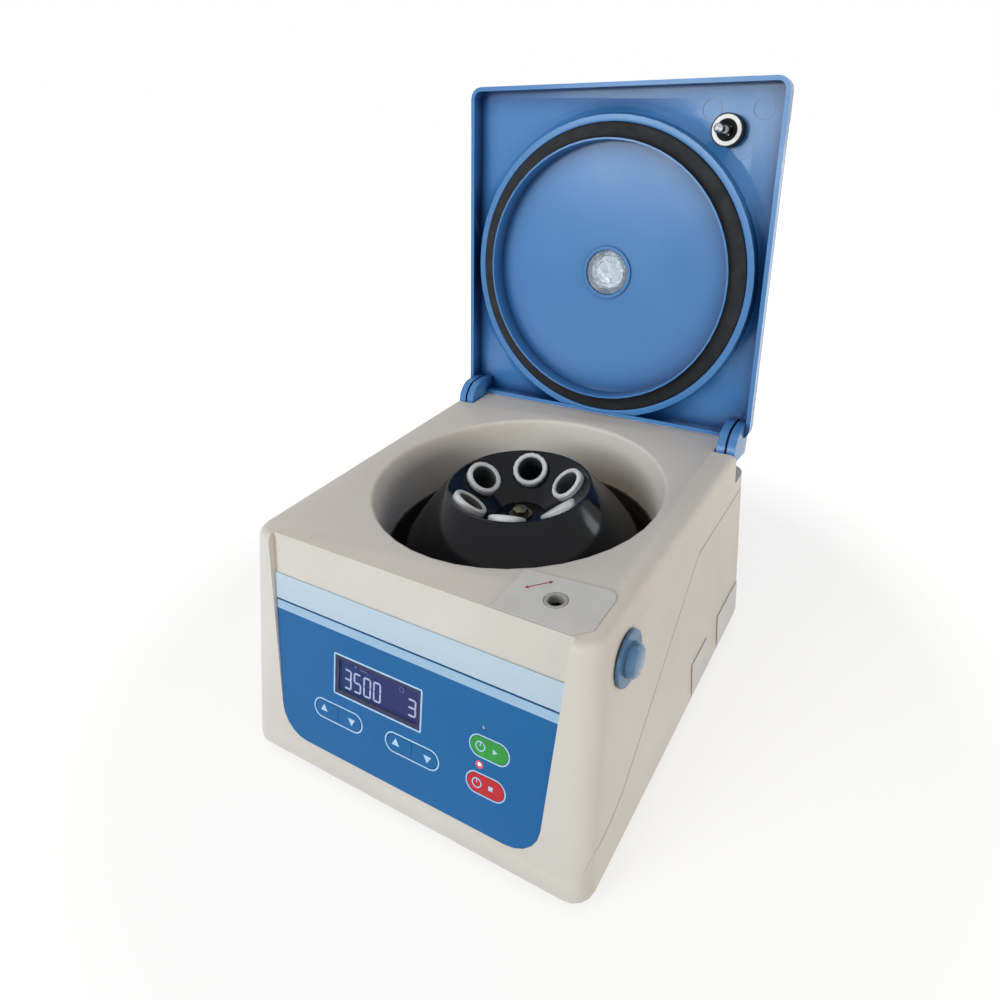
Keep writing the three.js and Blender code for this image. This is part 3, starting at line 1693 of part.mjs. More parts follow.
function buildMotorCan() {
  const w = motor.canWall;
  const seat = motor.bearingOuter + seatGap;
  const seatTop = motor.canFoot + w + motor.bearingHeight;
  return turned([
    [0, motor.canFoot],
    [motor.canRadius, motor.canFoot],
    [motor.canRadius, motor.canTop - seatGap],
    [motor.canRadius - w, motor.canTop - seatGap],
    [motor.canRadius - w, motor.canFoot + w],
    [seat + motor.bearingSeatWall, motor.canFoot + w],
    [seat + motor.bearingSeatWall, seatTop],
    [seat, seatTop],
    [seat, motor.canFoot + w],
    [0, motor.canFoot + w],
  ], steps.medium);
}

function buildEndBell() {
  const seat = motor.bearingOuter + seatGap;
  const low = motor.canTop;
  const top = low + motor.bellThickness;
  return turned([
    [motor.shaftRadius + 2 * seatGap, top + motor.bellBossHeight],
    [motor.shaftRadius + 2 * seatGap, top + seatGap],
    [seat, top + seatGap],
    [seat, low - seatGap],
    [seat + motor.bearingSeatWall, low - seatGap],
    [seat + motor.bearingSeatWall, low],
    [motor.canRadius, low],
    [motor.canRadius, top],
    [motor.bellBoss, top],
    [motor.bellBoss, top + motor.bellBossHeight],
  ], steps.medium);
}

const upperBearingFoot = motor.canTop + motor.bellThickness - motor.bearingHeight;
const lowerBearingFoot = motor.canFoot + motor.canWall + seatGap;

function buildBearing(low) {
  return turned([
    [motor.bearingInner, low],
    [motor.bearingOuter, low],
    [motor.bearingOuter, low + motor.bearingHeight],
    [motor.bearingInner, low + motor.bearingHeight],
  ], steps.medium);
}

function buildShaft() {
  const shoulderTop = rotor.hubHeight - seatGap;
  const top = nutFoot + rotorNut.height - rotorNut.capHeight / 2 - seatGap;
  return turned([
    [0, motor.shaftFoot],
    [motor.shaftRadius, motor.shaftFoot],
    [motor.shaftRadius, motor.armatureFoot],
    [motor.armatureRadius, motor.armatureFoot],
    [motor.armatureRadius, motor.armatureTop],
    [motor.shaftRadius, motor.armatureTop],
    [motor.shaftRadius, motor.canTop + motor.bellThickness + motor.bellBossHeight + bowl.wall],
    [motor.shaftShoulder, motor.canTop + motor.bellThickness + motor.bellBossHeight + 2 * bowl.wall],
    [motor.shaftShoulder, shoulderTop],
    [motor.shaftRadius, shoulderTop],
    [motor.shaftRadius, top],
    [0, top],
  ], steps.medium);
}

function buildMotorPlate() {
  const low = motor.canTop + motor.bellThickness + seatGap;
  const hole = motor.bellBoss + seatGap;
  return turned([
    [hole, low],
    [motorPlate.radius, low],
    [motorPlate.radius, low + motorPlate.thickness],
    [hole, low + motorPlate.thickness],
  ], steps.medium);
}

function buildDamper() {
  const h = damper.height - seatGap;
  return turned([
    [0, 0],
    [damper.radius, 0],
    [damper.radius, h / 4],
    [damper.waist, h / 2],
    [damper.radius, 3 * h / 4],
    [damper.radius, h],
    [0, h],
  ], steps.small);
}

// Electrics

function buildMainBoard() {
  const low = housing.wall + mainBoard.postHeight + seatGap;
  const top = low + mainBoard.thickness;
  const x = mainBoard.width / 2;
  const y = mainBoard.depth / 2;
  const chip = mainBoard.chipSize / 2;
  const plate = box(-x, x, mainBoard.centreY - y, mainBoard.centreY + y, low, top);
  const place = x / 2;
  const chips = [-place, 0, place].map((cx) => solid(box(
    cx - chip, cx + chip, mainBoard.centreY - chip, mainBoard.centreY + chip,
    top - smallest, top + mainBoard.chipHeight,
  )));
  return join(solid(plate), ...chips);
}

function buildTransformer() {
  const low = housing.wall + transformer.padHeight + seatGap;
  const core = transformerBox(0, transformer.coreInset);
  const coil = transformerBox(transformer.coreInset, 0);
  const coreSolid = solid(box(...core, low, low + transformer.height));
  const inset = transformer.coreInset;
  return join(coreSolid, solid(box(...coil, low, low + transformer.height - inset)));
}

function buildPowerEntry() {
  const rear = housing.depth / 2;
  const e = powerEntry;
  const face = rear + seatGap + e.flangeThickness;
  let body = solid(box(
    e.centreX - e.width / 2, e.centreX + e.width / 2, face - e.depth, face - e.flangeThickness / 2,
    e.centreHeight - e.height / 2, e.centreHeight + e.height / 2,
  ));
  const halfX = e.width / 2 + e.flangeMargin;
  const halfZ = e.height / 2 + e.flangeMargin;
  body = join(body, solid(box(
    e.centreX - halfX, e.centreX + halfX, rear + seatGap, face,
    e.centreHeight - halfZ, e.centreHeight + halfZ,
  )));
  const socketX = e.centreX + e.socketX;
  body = cut(body, solid(box(
    socketX - e.socketWidth / 2, socketX + e.socketWidth / 2, face - e.socketDepth, face + cutOverrun,
    e.centreHeight - e.socketHeight / 2, e.centreHeight + e.socketHeight / 2,
  )));
  const rockerX = e.centreX + e.rockerX;
  body = cut(body, solid(box(
    rockerX - e.rockerWidth / 2, rockerX + e.rockerWidth / 2, face - e.rockerWell, face + cutOverrun,
    e.centreHeight - e.rockerHeight / 2, e.centreHeight + e.rockerHeight / 2,
  )));
  for (const [across, up] of e.bladeShares) {
    const bladeX = socketX + across * e.bladeSpread;
    const bladeZ = e.centreHeight + up * e.bladeSpread;
    body = join(body, solid(box(
      bladeX - e.bladeWidth / 2, bladeX + e.bladeWidth / 2,
      face - e.socketDepth - e.bladeWidth / 2, face - e.socketDepth + e.bladeLength,
      bladeZ - e.bladeHeight / 2, bladeZ + e.bladeHeight / 2,
    )));
  }
  return body;
}

// The rocker swings about X at the mouth of its well; it is drawn with its upper end pressed in.
const rockerPivotY = housing.depth / 2 + seatGap + powerEntry.flangeThickness - powerEntry.rockerWell / 3;

function buildRocker() {
  const halfX = powerEntry.rockerWidth / 2 - rocker.clearance;
  const halfZ = powerEntry.rockerHeight / 2 - rocker.clearance - rocker.thickness / 5;
  const t = rocker.thickness / 2;
  const outline = [
    [-t, -halfZ * rocker.faceShare],
    [t, -halfZ],
    [t * rocker.faceShare, 0],
    [t, halfZ],
    [-t, halfZ * rocker.faceShare],
  ];
  return sidePrism(outline, -halfX, halfX);
}

function buildFoot() {
  return turned([
    [0, -foot.height],
    [foot.radius - foot.spigotLength / 2, -foot.height],
    [foot.radius, -foot.height + foot.spigotLength / 2],
    [foot.topRadius, -seatGap],
    [foot.spigotRadius, -seatGap],
    [foot.spigotRadius, foot.spigotLength],
    [0, foot.spigotLength],
  ], steps.small + 4);
}

function buildHingePin() {
  return alongX(
    disc(hingePin.radius, 0, pinOuterX - pinInnerX, 0, 0, steps.small),
    pinInnerX, lid.hingeY, lid.hingeHeight,
  );
}

// A thin plate that leans with the side's draft.
function buildSidePlate(length) {
  return box(0, sidePlate.thickness, -length / 2, length / 2, 0, sidePlate.height);
}

// Assembly

const object = new THREE.Group();

function addMesh(parent, name, finish, shape) {
  const geometry = shape instanceof THREE.BufferGeometry ? closed(shape) : surface(shape);
  const mesh = new THREE.Mesh(geometry, new THREE.MeshStandardMaterial(finishes[finish]));
  mesh.name = name;
  parent.add(mesh);
  return mesh;
}

function addCase() {
  addMesh(object, 'upper_housing', 'ivory', buildUpperHousing());
  addMesh(object, 'base_shell', 'ivory', buildBaseShell());
  addMesh(object, 'deck_plate', 'greyPlate', buildDeckPlate());
  addMesh(object, 'striker_bush', 'white', buildBush());
  const draft = Math.atan2(housing.sideDraft, housing.height);
  for (const [name, y, length] of [
    ['side_plate_rear', sidePlate.rearY, sidePlate.rearLength],
    ['side_plate_front', sidePlate.frontY, sidePlate.frontLength],
  ]) {
    const plate = addMesh(object, name, 'greyPlate', buildSidePlate(length));
    plate.position.set(halfWidthAt(sidePlate.footHeight) + seatGap, y, sidePlate.footHeight);
    plate.rotation.y = -draft;
  }
  footPlaces().forEach(([x, y], i) => {
    addMesh(object, `foot_${i + 1}`, 'rubber', buildFoot()).position.set(x, y, 0);
  });
}

function addPanel() {
  object.add(panelGroup);
  addMesh(panelGroup, 'header_strip', 'paleBlue', buildHeader());
  addMesh(panelGroup, 'keypad_overlay', 'panelBlue', buildOverlay());
  for (const key of keys) {
    const mesh = addMesh(panelGroup, key.name, key.finish, buildKey(key));
    mesh.position.set(key.x, upPanel(keyHeight(key)), 0);
  }
  for (const item of lamps) {
    addMesh(panelGroup, item.name, item.finish, buildLamp()).position.set(item.x, upPanel(item.height), 0);
  }
  for (const [name, finish, shape] of [
    ['display_window', 'glassClear', buildWindow()],
    ['display_module', 'glassDark', buildDisplayModule()],
  ]) {
    const mesh = addMesh(panelGroup, name, finish, shape);
    mesh.position.set(display.centreX, upPanel(display.centreHeight), 0);
  }
  addMesh(panelGroup, 'panel_board', 'board', buildPanelBoard());
}

function addLatch() {
  addMesh(object, 'release_bezel', 'buttonBlue', buildBezel());
  addMesh(object, 'release_button', 'buttonBlue', buildButtonCap());
  addMesh(object, 'button_spring', 'steel', buildButtonSpring());
  addMesh(object, 'latch_bracket', 'darkSteel', buildLatchBracket());
  const pawlMesh = addMesh(object, 'latch_pawl', 'steel', buildPawl());
  pawlMesh.position.set(latch.pivotX, latch.pivotY, pawlFoot);
  pawlMesh.rotation.z = pawlAngle();
  addMesh(object, 'lid_switch', 'black', buildLidSwitch());
}

function addLid() {
  const group = new THREE.Group();
  group.position.set(0, lidHinge.y, lidHinge.z);
  group.rotation.x = -THREE.MathUtils.degToRad(lid.openAngle);
  object.add(group);
  addMesh(group, 'lid_shell', 'lidBlue', buildLid());
  addMesh(group, 'lid_gasket', 'rubber', buildGasket());
  addMesh(group, 'sight_window', 'glassClear', buildSightWindow());
  addMesh(group, 'striker_pin', 'steel', buildStrikerPin());
  addMesh(group, 'striker_cup', 'rubber', buildStrikerCup());
  addMesh(group, 'striker_ring', 'white', buildStrikerRing());
  addMesh(object, 'hinge_pin_right', 'steel', buildHingePin());
  const leftPin = addMesh(object, 'hinge_pin_left', 'steel', buildHingePin());
  leftPin.position.x = -pinInnerX - pinOuterX;
}

function addRotor() {
  addMesh(object, 'chamber_bowl', 'blackPaint', buildBowl());
  addMesh(object, 'rotor_body', 'black', buildRotorBody());
  for (let i = 0; i < sleeve.count; i += 1) {
    const spoke = new THREE.Group();
    spoke.rotation.z = sleeveTurn(i);
    object.add(spoke);
    const mesh = addMesh(spoke, `tube_sleeve_${i + 1}`, 'sleeveGrey', buildSleeve());
    mesh.position.set(sleeve.mouthRadius, 0, sleeve.mouthHeight);
    mesh.rotation.y = -THREE.MathUtils.degToRad(sleeve.tilt);
  }
  addMesh(object, 'rotor_washer', 'steel', buildWasher());
  addMesh(object, 'rotor_nut', 'brass', buildNut());
}

function addMotor() {
  addMesh(object, 'motor_can', 'darkSteel', buildMotorCan());
  addMesh(object, 'motor_end_bell', 'steel', buildEndBell());
  addMesh(object, 'bearing_upper', 'steel', buildBearing(upperBearingFoot));
  addMesh(object, 'bearing_lower', 'steel', buildBearing(lowerBearingFoot));
  addMesh(object, 'motor_shaft', 'steel', buildShaft());
  addMesh(object, 'motor_plate', 'steel', buildMotorPlate());
  for (let i = 0; i < damper.count; i += 1) {
    const [x, y] = damperPlace(i);
    const damperMesh = addMesh(object, `damper_${i + 1}`, 'rubber', buildDamper());
    damperMesh.position.set(x, y, motorSeatHeight() + seatGap);
  }
}

function addElectrics() {
  addMesh(object, 'main_board', 'board', buildMainBoard());
  addMesh(object, 'transformer', 'copper', buildTransformer());
  addMesh(object, 'power_entry', 'black', buildPowerEntry());
  const mesh = addMesh(object, 'power_rocker', 'black', buildRocker());
  mesh.position.set(powerEntry.centreX + powerEntry.rockerX, rockerPivotY, powerEntry.centreHeight);
  mesh.rotation.x = THREE.MathUtils.degToRad(rocker.swing);
}

addCase();
addPanel();
addLatch();
addLid();
addRotor();
addMotor();
addElectrics();

// The button and the left side, the open lid's back edge and the case's foot bound the object.
const lidTurn = THREE.MathUtils.degToRad(lid.openAngle);
const lidBack = lid.hingeY - (lid.length - lid.edgeRadius) * Math.cos(lidTurn)
  + (pinTop + lid.depth) * Math.sin(lidTurn);
const middleY = (lidBack + frontAt(housing.footEdgeRadius)) / 2;
const middleX = (bezelFace + button.capProud - halfWidthAt(housing.footEdgeRadius)) / 2;
object.children.forEach((child) => child.position.add(new THREE.Vector3(-middleX, -middleY, foot.height)));

export default object;
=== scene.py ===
import json
import math

import bmesh
import bpy
from mathutils import Matrix, Vector

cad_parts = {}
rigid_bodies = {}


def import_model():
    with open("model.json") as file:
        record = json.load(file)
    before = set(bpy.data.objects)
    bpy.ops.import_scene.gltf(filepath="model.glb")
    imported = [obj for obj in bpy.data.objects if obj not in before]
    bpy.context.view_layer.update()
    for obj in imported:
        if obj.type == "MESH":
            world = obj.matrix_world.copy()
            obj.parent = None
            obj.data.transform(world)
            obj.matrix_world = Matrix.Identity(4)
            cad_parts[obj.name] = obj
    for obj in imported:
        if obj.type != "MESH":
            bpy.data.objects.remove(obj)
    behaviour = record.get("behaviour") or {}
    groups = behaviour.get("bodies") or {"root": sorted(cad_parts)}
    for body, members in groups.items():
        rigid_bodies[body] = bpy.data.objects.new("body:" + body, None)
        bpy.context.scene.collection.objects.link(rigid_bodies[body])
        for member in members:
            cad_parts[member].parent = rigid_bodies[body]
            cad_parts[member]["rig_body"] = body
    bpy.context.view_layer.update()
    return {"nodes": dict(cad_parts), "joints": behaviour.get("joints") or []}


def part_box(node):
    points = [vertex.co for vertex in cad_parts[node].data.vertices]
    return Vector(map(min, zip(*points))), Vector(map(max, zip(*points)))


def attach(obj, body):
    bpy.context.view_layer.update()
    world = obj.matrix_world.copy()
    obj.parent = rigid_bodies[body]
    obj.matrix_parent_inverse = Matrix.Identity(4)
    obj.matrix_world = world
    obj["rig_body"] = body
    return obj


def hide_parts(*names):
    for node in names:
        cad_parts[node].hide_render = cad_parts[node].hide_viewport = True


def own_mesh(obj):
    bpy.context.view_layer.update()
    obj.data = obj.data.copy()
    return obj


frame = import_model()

MM = 0.001
X_AXIS = Vector((1, 0, 0))
Z_AXIS = Vector((0, 0, 1))
JOINTS = {joint["name"]: joint for joint in frame["joints"]}


# Camera, solved from the case's straight edges and circles: places in millimetres, turns in degrees

CAMERA_PLACE = (244.89, -397.16, 422.9)
CAMERA_YAW = -31.51
CAMERA_PITCH = -24.44
CAMERA_ROLL = -2.79
CAMERA_LENS = 26.956
CAMERA_SHIFT = (-0.0253, -0.0833)
CAMERA_SENSOR = 36
CAMERA_NEAR = 10


def look_matrix(place, yaw, pitch, roll):
    yaw, pitch, roll = (math.radians(turn) for turn in (yaw, pitch, roll))
    ahead = Vector((math.sin(yaw) * math.cos(pitch), math.cos(yaw) * math.cos(pitch), math.sin(pitch)))
    right = Vector((math.cos(yaw), -math.sin(yaw), 0))
    up = right.cross(ahead)
    side = right * math.cos(roll) + up * math.sin(roll)
    top = up * math.cos(roll) - right * math.sin(roll)
    turned = Matrix((side, top, -ahead)).transposed().to_4x4()
    return Matrix.Translation(Vector(place) * MM) @ turned


camera_data = bpy.data.cameras.new("camera")
camera_data.lens = CAMERA_LENS
camera_data.sensor_width = CAMERA_SENSOR
camera_data.shift_x, camera_data.shift_y = CAMERA_SHIFT
camera_data.clip_start = CAMERA_NEAR * MM
camera = bpy.data.objects.new("camera", camera_data)
camera.matrix_world = look_matrix(CAMERA_PLACE, CAMERA_YAW, CAMERA_PITCH, CAMERA_ROLL)
bpy.context.scene.collection.objects.link(camera)
bpy.context.scene.camera = camera
bpy.context.scene.view_settings.view_transform = "Standard"


# Colours and nodes

def linear(code, alpha=1.0):
    """A colour written as sRGB hex, as the shader's linear numbers."""
    parts = [int(code[i:i + 2], 16) / 255 for i in (1, 3, 5)]
    return [p / 12.92 if p <= 0.04045 else ((p + 0.055) / 1.055) ** 2.4 for p in parts] + [alpha]


def add(tree, kind, inputs=None, **settings):
    """Adds one node; an input that is another node's socket is linked, and any other is set."""
    made = tree.nodes.new(kind)
    for name, value in settings.items():
        setattr(made, name, value)
    for name, value in (inputs or {}).items():
        if isinstance(value, bpy.types.NodeSocket):
            tree.links.new(value, made.inputs[name])
        else:
            made.inputs[name].default_value = value
    return made


def per_mm(size):
    """A noise's scale for features of a size in millimetres, on coordinates in metres."""
    return 1 / (size * MM)


MATERIALS = {}
TONE_SPAN = (0.25, 0.75)
WEAR_SPAN = (0.3, 0.7)
# Ambient-occlusion span and samples for the shade painted into inner corners
CORNER_SHADE_SPAN = (0.4, 0.95)
CORNER_SHADE_SAMPLES = 8
TONES_IN_FADE = 0.35


def finish(
    key, name, tones, drift, rough, wipes, grain=None, stretch=(1, 1, 1),
    fade=None, corner_shade=None, glow=None, **sockets,
):
    """A material whose colour drifts between two tones over so many millimetres, whose roughness
    drifts over others, and whose fine grain has a size and a height. A fade runs two more tones
    along an axis of a node's box, and a dark tone with a reach in millimetres paints shade into
    inner corners. A glow gives the surface light of its own colour."""
    made = bpy.data.materials.new(name)
    made.use_nodes = True
    tree = made.node_tree
    shader = tree.nodes["Principled BSDF"]
    for socket, value in sockets.items():
        shader.inputs[socket.replace("_", " ")].default_value = value
    where = add(tree, "ShaderNodeTexCoord").outputs["Object"]
    laid = add(tree, "ShaderNodeMapping", {"Vector": where, "Scale": stretch}).outputs["Vector"]

    patches = add(tree, "ShaderNodeTexNoise", {"Vector": where, "Scale": per_mm(drift), "Detail": 1.5})
    tone = add(tree, "ShaderNodeValToRGB", {"Fac": patches.outputs["Fac"]})
    for element, place, code in zip(tone.color_ramp.elements, TONE_SPAN, tones):
        element.position = place
        element.color = linear(code)
    colour = tone.outputs["Color"]
    if fade:
        node, axis, codes = fade
        low, high = (getattr(corner, axis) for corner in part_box(node))
        along = add(tree, "ShaderNodeSeparateXYZ", {"Vector": where}).outputs[axis.upper()]
        share = add(tree, "ShaderNodeMapRange", {"Value": along, "From Min": low, "From Max": high})
        run = add(tree, "ShaderNodeValToRGB", {"Fac": share.outputs["Result"]})
        for element, code in zip(run.color_ramp.elements, codes):
            element.color = linear(code)
        both = add(tree, "ShaderNodeMix", {
            0: TONES_IN_FADE, 6: run.outputs["Color"], 7: colour,
        }, data_type="RGBA")
        colour = both.outputs[2]
    # Painted shade: where ambient occlusion finds an inner corner within the reach, the colour darkens
    # toward the given tone
    if corner_shade:
        code, size = corner_shade
        corner_ao = add(
            tree, "ShaderNodeAmbientOcclusion", {"Distance": size * MM},
            samples=CORNER_SHADE_SAMPLES, only_local=True,
        )
        share = add(tree, "ShaderNodeMapRange", {
            "Value": corner_ao.outputs["AO"], "From Min": CORNER_SHADE_SPAN[0], "From Max": CORNER_SHADE_SPAN[1],
        })
        both = add(tree, "ShaderNodeMix", {
            0: share.outputs["Result"], 6: linear(code), 7: colour,
        }, data_type="RGBA")
        colour = both.outputs[2]
    tree.links.new(colour, shader.inputs["Base Color"])

    wear = add(tree, "ShaderNodeTexNoise", {"Vector": laid, "Scale": per_mm(wipes), "Detail": 4.0})
    spread = add(tree, "ShaderNodeMapRange", {
        "Value": wear.outputs["Fac"], "From Min": WEAR_SPAN[0], "From Max": WEAR_SPAN[1],
        "To Min": rough[0], "To Max": rough[1],
    })
    tree.links.new(spread.outputs["Result"], shader.inputs["Roughness"])

    if grain:
        size, height = grain
        pits = add(tree, "ShaderNodeTexNoise", {"Vector": laid, "Scale": per_mm(size), "Detail": 2.0})
        bump = add(tree, "ShaderNodeBump", {"Height": pits.outputs["Fac"], "Distance": height * MM})
        tree.links.new(bump.outputs["Normal"], shader.inputs["Normal"])
    if glow:
        tree.links.new(colour, shader.inputs["Emission Color"])
        shader.inputs["Emission Strength"].default_value = glow
    MATERIALS[key] = made


# Moulded ABS of the case: warm white, satin, with the fine spark texture that a mould leaves.
finish("case_abs", "moulded_abs_ivory", ("#d2ccc3", "#dad5cd"), 90, (0.40, 0.50), 25, (0.7, 0.02), IOR=1.53)

# Moulded ABS of the lid: clear mid blue that shines softly, with shade painted into its inner corners.
finish(
    "lid_abs", "moulded_abs_blue_painted_corner_shade", ("#427dba", "#4984c0"), 70, (0.17, 0.25), 26, (3.5, 0.006),
    corner_shade=("#0b3263", 19), IOR=1.53, Specular_IOR_Level=0.4,
)

# The same ABS in the rings that ejector pins left: smoother, and a darker blue painted in as the shade of
# their small raised edges.
finish("pin_mark", "pin_ring_abs_blue_painted_edge_shade", ("#2f6099", "#3a6ba4"), 20, (0.14, 0.22), 8, IOR=1.53)

# ABS of the release button and its bezel: greyer blue, polished on the button and satin round it.
finish("button_abs", "polished_abs_blue", ("#47769f", "#507faa"), 14, (0.10, 0.18), 6, IOR=1.53)
finish(
    "bezel_abs", "moulded_abs_slate_blue", ("#436d94", "#4b769d"), 14, (0.28, 0.38), 6, (0.9, 0.01),
    IOR=1.53,
)

# Screen-printed polyester film of the keypad and keys: even inks under a satin face that barely mirrors.
finish(
    "film_blue", "printed_film_blue", ("#1c639d", "#2268a3"), 60, (0.36, 0.46), 20, (0.5, 0.01),
    IOR=1.57, Specular_IOR_Level=0.15,
)
finish(
    "film_pale", "printed_film_pale_blue", ("#9bbcd8", "#a6c4de"), 50, (0.34, 0.44), 20, (0.5, 0.01),
    IOR=1.57, Specular_IOR_Level=0.3,
)
finish(
    "film_green", "printed_film_green", ("#218f33", "#2a9a3c"), 12, (0.32, 0.42), 9, (0.5, 0.01),
    IOR=1.57, Specular_IOR_Level=0.35,
)
finish(
    "film_red", "printed_film_red", ("#b91222", "#c81a2a"), 12, (0.32, 0.42), 9, (0.5, 0.01),
    IOR=1.57, Specular_IOR_Level=0.35,
)

# Header film: very pale blue, a touch bluer at its foot than at its head.
finish(
    "film_header", "printed_film_very_pale_blue", ("#bccfde", "#c4d4e1"), 40, (0.32, 0.42), 20, (0.5, 0.01),
    fade=("header_strip", "z", ("#b5cbdd", "#bfd1e0")), IOR=1.57, Specular_IOR_Level=0.35,
)

# Painted shade of the joint line: a matt tan strip of the same ABS, laid where the gap between the halves
# throws shade.
finish("joint_tan", "moulded_abs_painted_joint_shade", ("#a39a8a", "#b0a797"), 8, (0.5, 0.6), 6, IOR=1.53)

# Screen inks: matt, slightly uneven where the mesh laid them down.
finish("ink_pale", "screen_ink_pale_blue", ("#a9cdee", "#bfdcf4"), 6, (0.40, 0.52), 5, IOR=1.5)
finish("ink_navy", "screen_ink_navy", ("#0f1742", "#131c4a"), 6, (0.40, 0.52), 5, IOR=1.5)
finish("ink_red", "screen_ink_red", ("#97232f", "#a8303b"), 4, (0.40, 0.52), 5, IOR=1.5)

# Printed vinyl of the small plates: plain grey with a satin shine.
finish(
    "vinyl_grey", "printed_vinyl_grey", ("#cdccca", "#d6d5d2"), 18, (0.34, 0.46), 10, (0.4, 0.008),
    IOR=1.5,
)

# Nitrile rubber: near black, matt, dusted where it is never wiped.
finish(
    "rubber", "nitrile_rubber_black", ("#131417", "#1f2024"), 9, (0.50, 0.70), 12, (0.8, 0.03),
    IOR=1.52, Specular_IOR_Level=0.3,
)

# Polished phenolic of the rotor: blue-black, mirrors soft shapes, with fine wipe marks.
finish(
    "rotor_black", "polished_phenolic_black", ("#0b0c11", "#121318"), 30, (0.10, 0.18), 16,
    IOR=1.55, Specular_IOR_Level=0.17,
)

# Moulded nylon of the inlet, the rocker and the lid switch: charcoal, with a fine grain.
finish(
    "moulding_black", "moulded_nylon_black", ("#18181a", "#212124"), 12, (0.35, 0.5), 8, (0.6, 0.02),
    IOR=1.53,
)

# Baked enamel of the chamber bowl: black with a slight orange peel.
finish(
    "bowl_enamel", "baked_enamel_black", ("#3a3531", "#453f3a"), 40, (0.30, 0.42), 20, (2.2, 0.03),
    IOR=1.5, Specular_IOR_Level=0.35,
)

# Turned acetal of the tube sleeves: milky white and waxy, with shade painted down the bore.
finish(
    "sleeve_acetal", "turned_acetal_white_painted_bore_shade", ("#c4c8cb", "#d2d5d7"), 12, (0.28, 0.38), 7, (0.9, 0.012),
    corner_shade=("#3f4041", 26), IOR=1.48,
)

# Moulded nylon of the striker's ring and the bush in the deck: white, and grey.
finish("plug_white", "moulded_nylon_white", ("#e2e3e1", "#eeeeec"), 7, (0.3, 0.42), 5, IOR=1.53)
finish("bush_grey", "moulded_nylon_grey", ("#9c9b98", "#a8a7a4"), 5, (0.3, 0.42), 5, IOR=1.53)

# Metals: turned ones have stretched marks, plated ones a cloudy bloom, the casting fine pits.
finish(
    "steel_turned", "turned_stainless_steel", ("#aeb0b3", "#c9cbcd"), 5, (0.14, 0.26), 4, (1.2, 0.01),
    (0.15, 0.15, 1.6), Metallic=1.0,
)
finish(
    "steel_plated", "zinc_plated_steel", ("#83878c", "#9da0a4"), 11, (0.3, 0.46), 9, (1.5, 0.01),
    Metallic=1.0,
)
finish("alloy_cast", "cast_aluminium", ("#9c9ea1", "#b4b6b8"), 6, (0.4, 0.55), 5, (1.4, 0.06), Metallic=1.0)
finish(
    "brass", "turned_brass", ("#57513f", "#857b62"), 3, (0.28, 0.42), 3, (1.0, 0.01),
    (0.2, 0.2, 1.5), Metallic=1.0,
)
finish(
    "laminations", "varnished_steel_laminations", ("#3f3e41", "#5b595a"), 4, (0.4, 0.6), 5, (0.9, 0.05),
    (0.1, 0.1, 2.0), Metallic=0.7,
)

# Solder-masked glass epoxy: green lacquer with a faint weave.
finish("board", "glass_epoxy_green", ("#19512f", "#226642"), 5, (0.28, 0.42), 6, (0.8, 0.02), IOR=1.55)

# Acrylic: smoke-tinted and thin over the display, and cloudy with small inclusions in the lid.
finish(
    "acrylic_smoke", "smoke_tinted_acrylic", ("#0d1020", "#12152a"), 20, (0.04, 0.08), 10,
    IOR=1.49, Alpha=0.18, Specular_IOR_Level=0.5,
)
finish(
    "acrylic_cloudy", "cloudy_acrylic", ("#8fa5b8", "#d5dce0"), 4, (0.03, 0.10), 3, (2.6, 0.4),
    IOR=1.49, Transmission_Weight=0.7,
)

# Display glass: dark navy with a violet cast to its right; its figures are lit from behind.
finish(
    "display_glass", "display_glass_navy", ("#15346c", "#193973"), 12, (0.1, 0.16), 8,
    fade=("display_module", "x", ("#163c7c", "#3c3078")), glow=0.45, IOR=1.5, Specular_IOR_Level=0.2,
)
finish(
    "figure_glow", "backlit_figures", ("#a6b4dc", "#c2cde8"), 4, (0.35, 0.45), 4,
    glow=0.7, Specular_IOR_Level=0.2,
)
finish(
    "mark_glow", "backlit_marks", ("#565c8c", "#666c9a"), 3, (0.35, 0.45), 4,
    glow=0.5, Specular_IOR_Level=0.2,
)

# Lamp lenses: one lit red with a bright middle, and one dark; and a painted red glow on the film round the
# lit one.
finish("lamp_lit", "lamp_lens_lit", ("#ff9c92", "#ffe2de"), 1.2, (0.15, 0.25), 2, glow=1.5, IOR=1.5)
finish("lamp_halo", "painted_lamp_glow_on_film", ("#c33a4a", "#d9505c"), 1.2, (0.3, 0.4), 2, glow=0.5, IOR=1.5)
finish("lamp_dark", "lamp_lens_dark", ("#6c98c8", "#86acd4"), 2, (0.28, 0.36), 3, IOR=1.5)


# Mesh tools

MERGE_GAP = 0.0001
WELD_GAP = 0.002
FLAT_TURN = 0.6


def keep_mesh(name, edit, body, material, smooth=35, stands_for=()):
    """Turns a bmesh into a piece that rides on a body; edges sharper than smooth degrees stay crisp."""
    for face in edit.faces:
        face.smooth = True
    limit = math.radians(smooth)
    for edge in edit.edges:
        edge.smooth = len(edge.link_faces) == 2 and edge.calc_face_angle(0) < limit
    mesh = bpy.data.meshes.new(name)
    edit.to_mesh(mesh)
    edit.free()
    mesh.materials.clear()
    mesh.materials.append(MATERIALS[material])
    piece = bpy.data.objects.new(name, mesh)
    bpy.context.scene.collection.objects.link(piece)
    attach(piece, body)
    if stands_for:
        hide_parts(*stands_for)
    return piece


def finish_mesh(name, edit, body, material, smooth=35, stands_for=()):
    """Merges what meets in a new shape, turns its faces outward and keeps it as a piece."""
    bmesh.ops.remove_doubles(edit, verts=edit.verts[:], dist=MERGE_GAP * MM)
    bmesh.ops.recalc_face_normals(edit, faces=edit.faces[:])
    return keep_mesh(name, edit, body, material, smooth, stands_for)


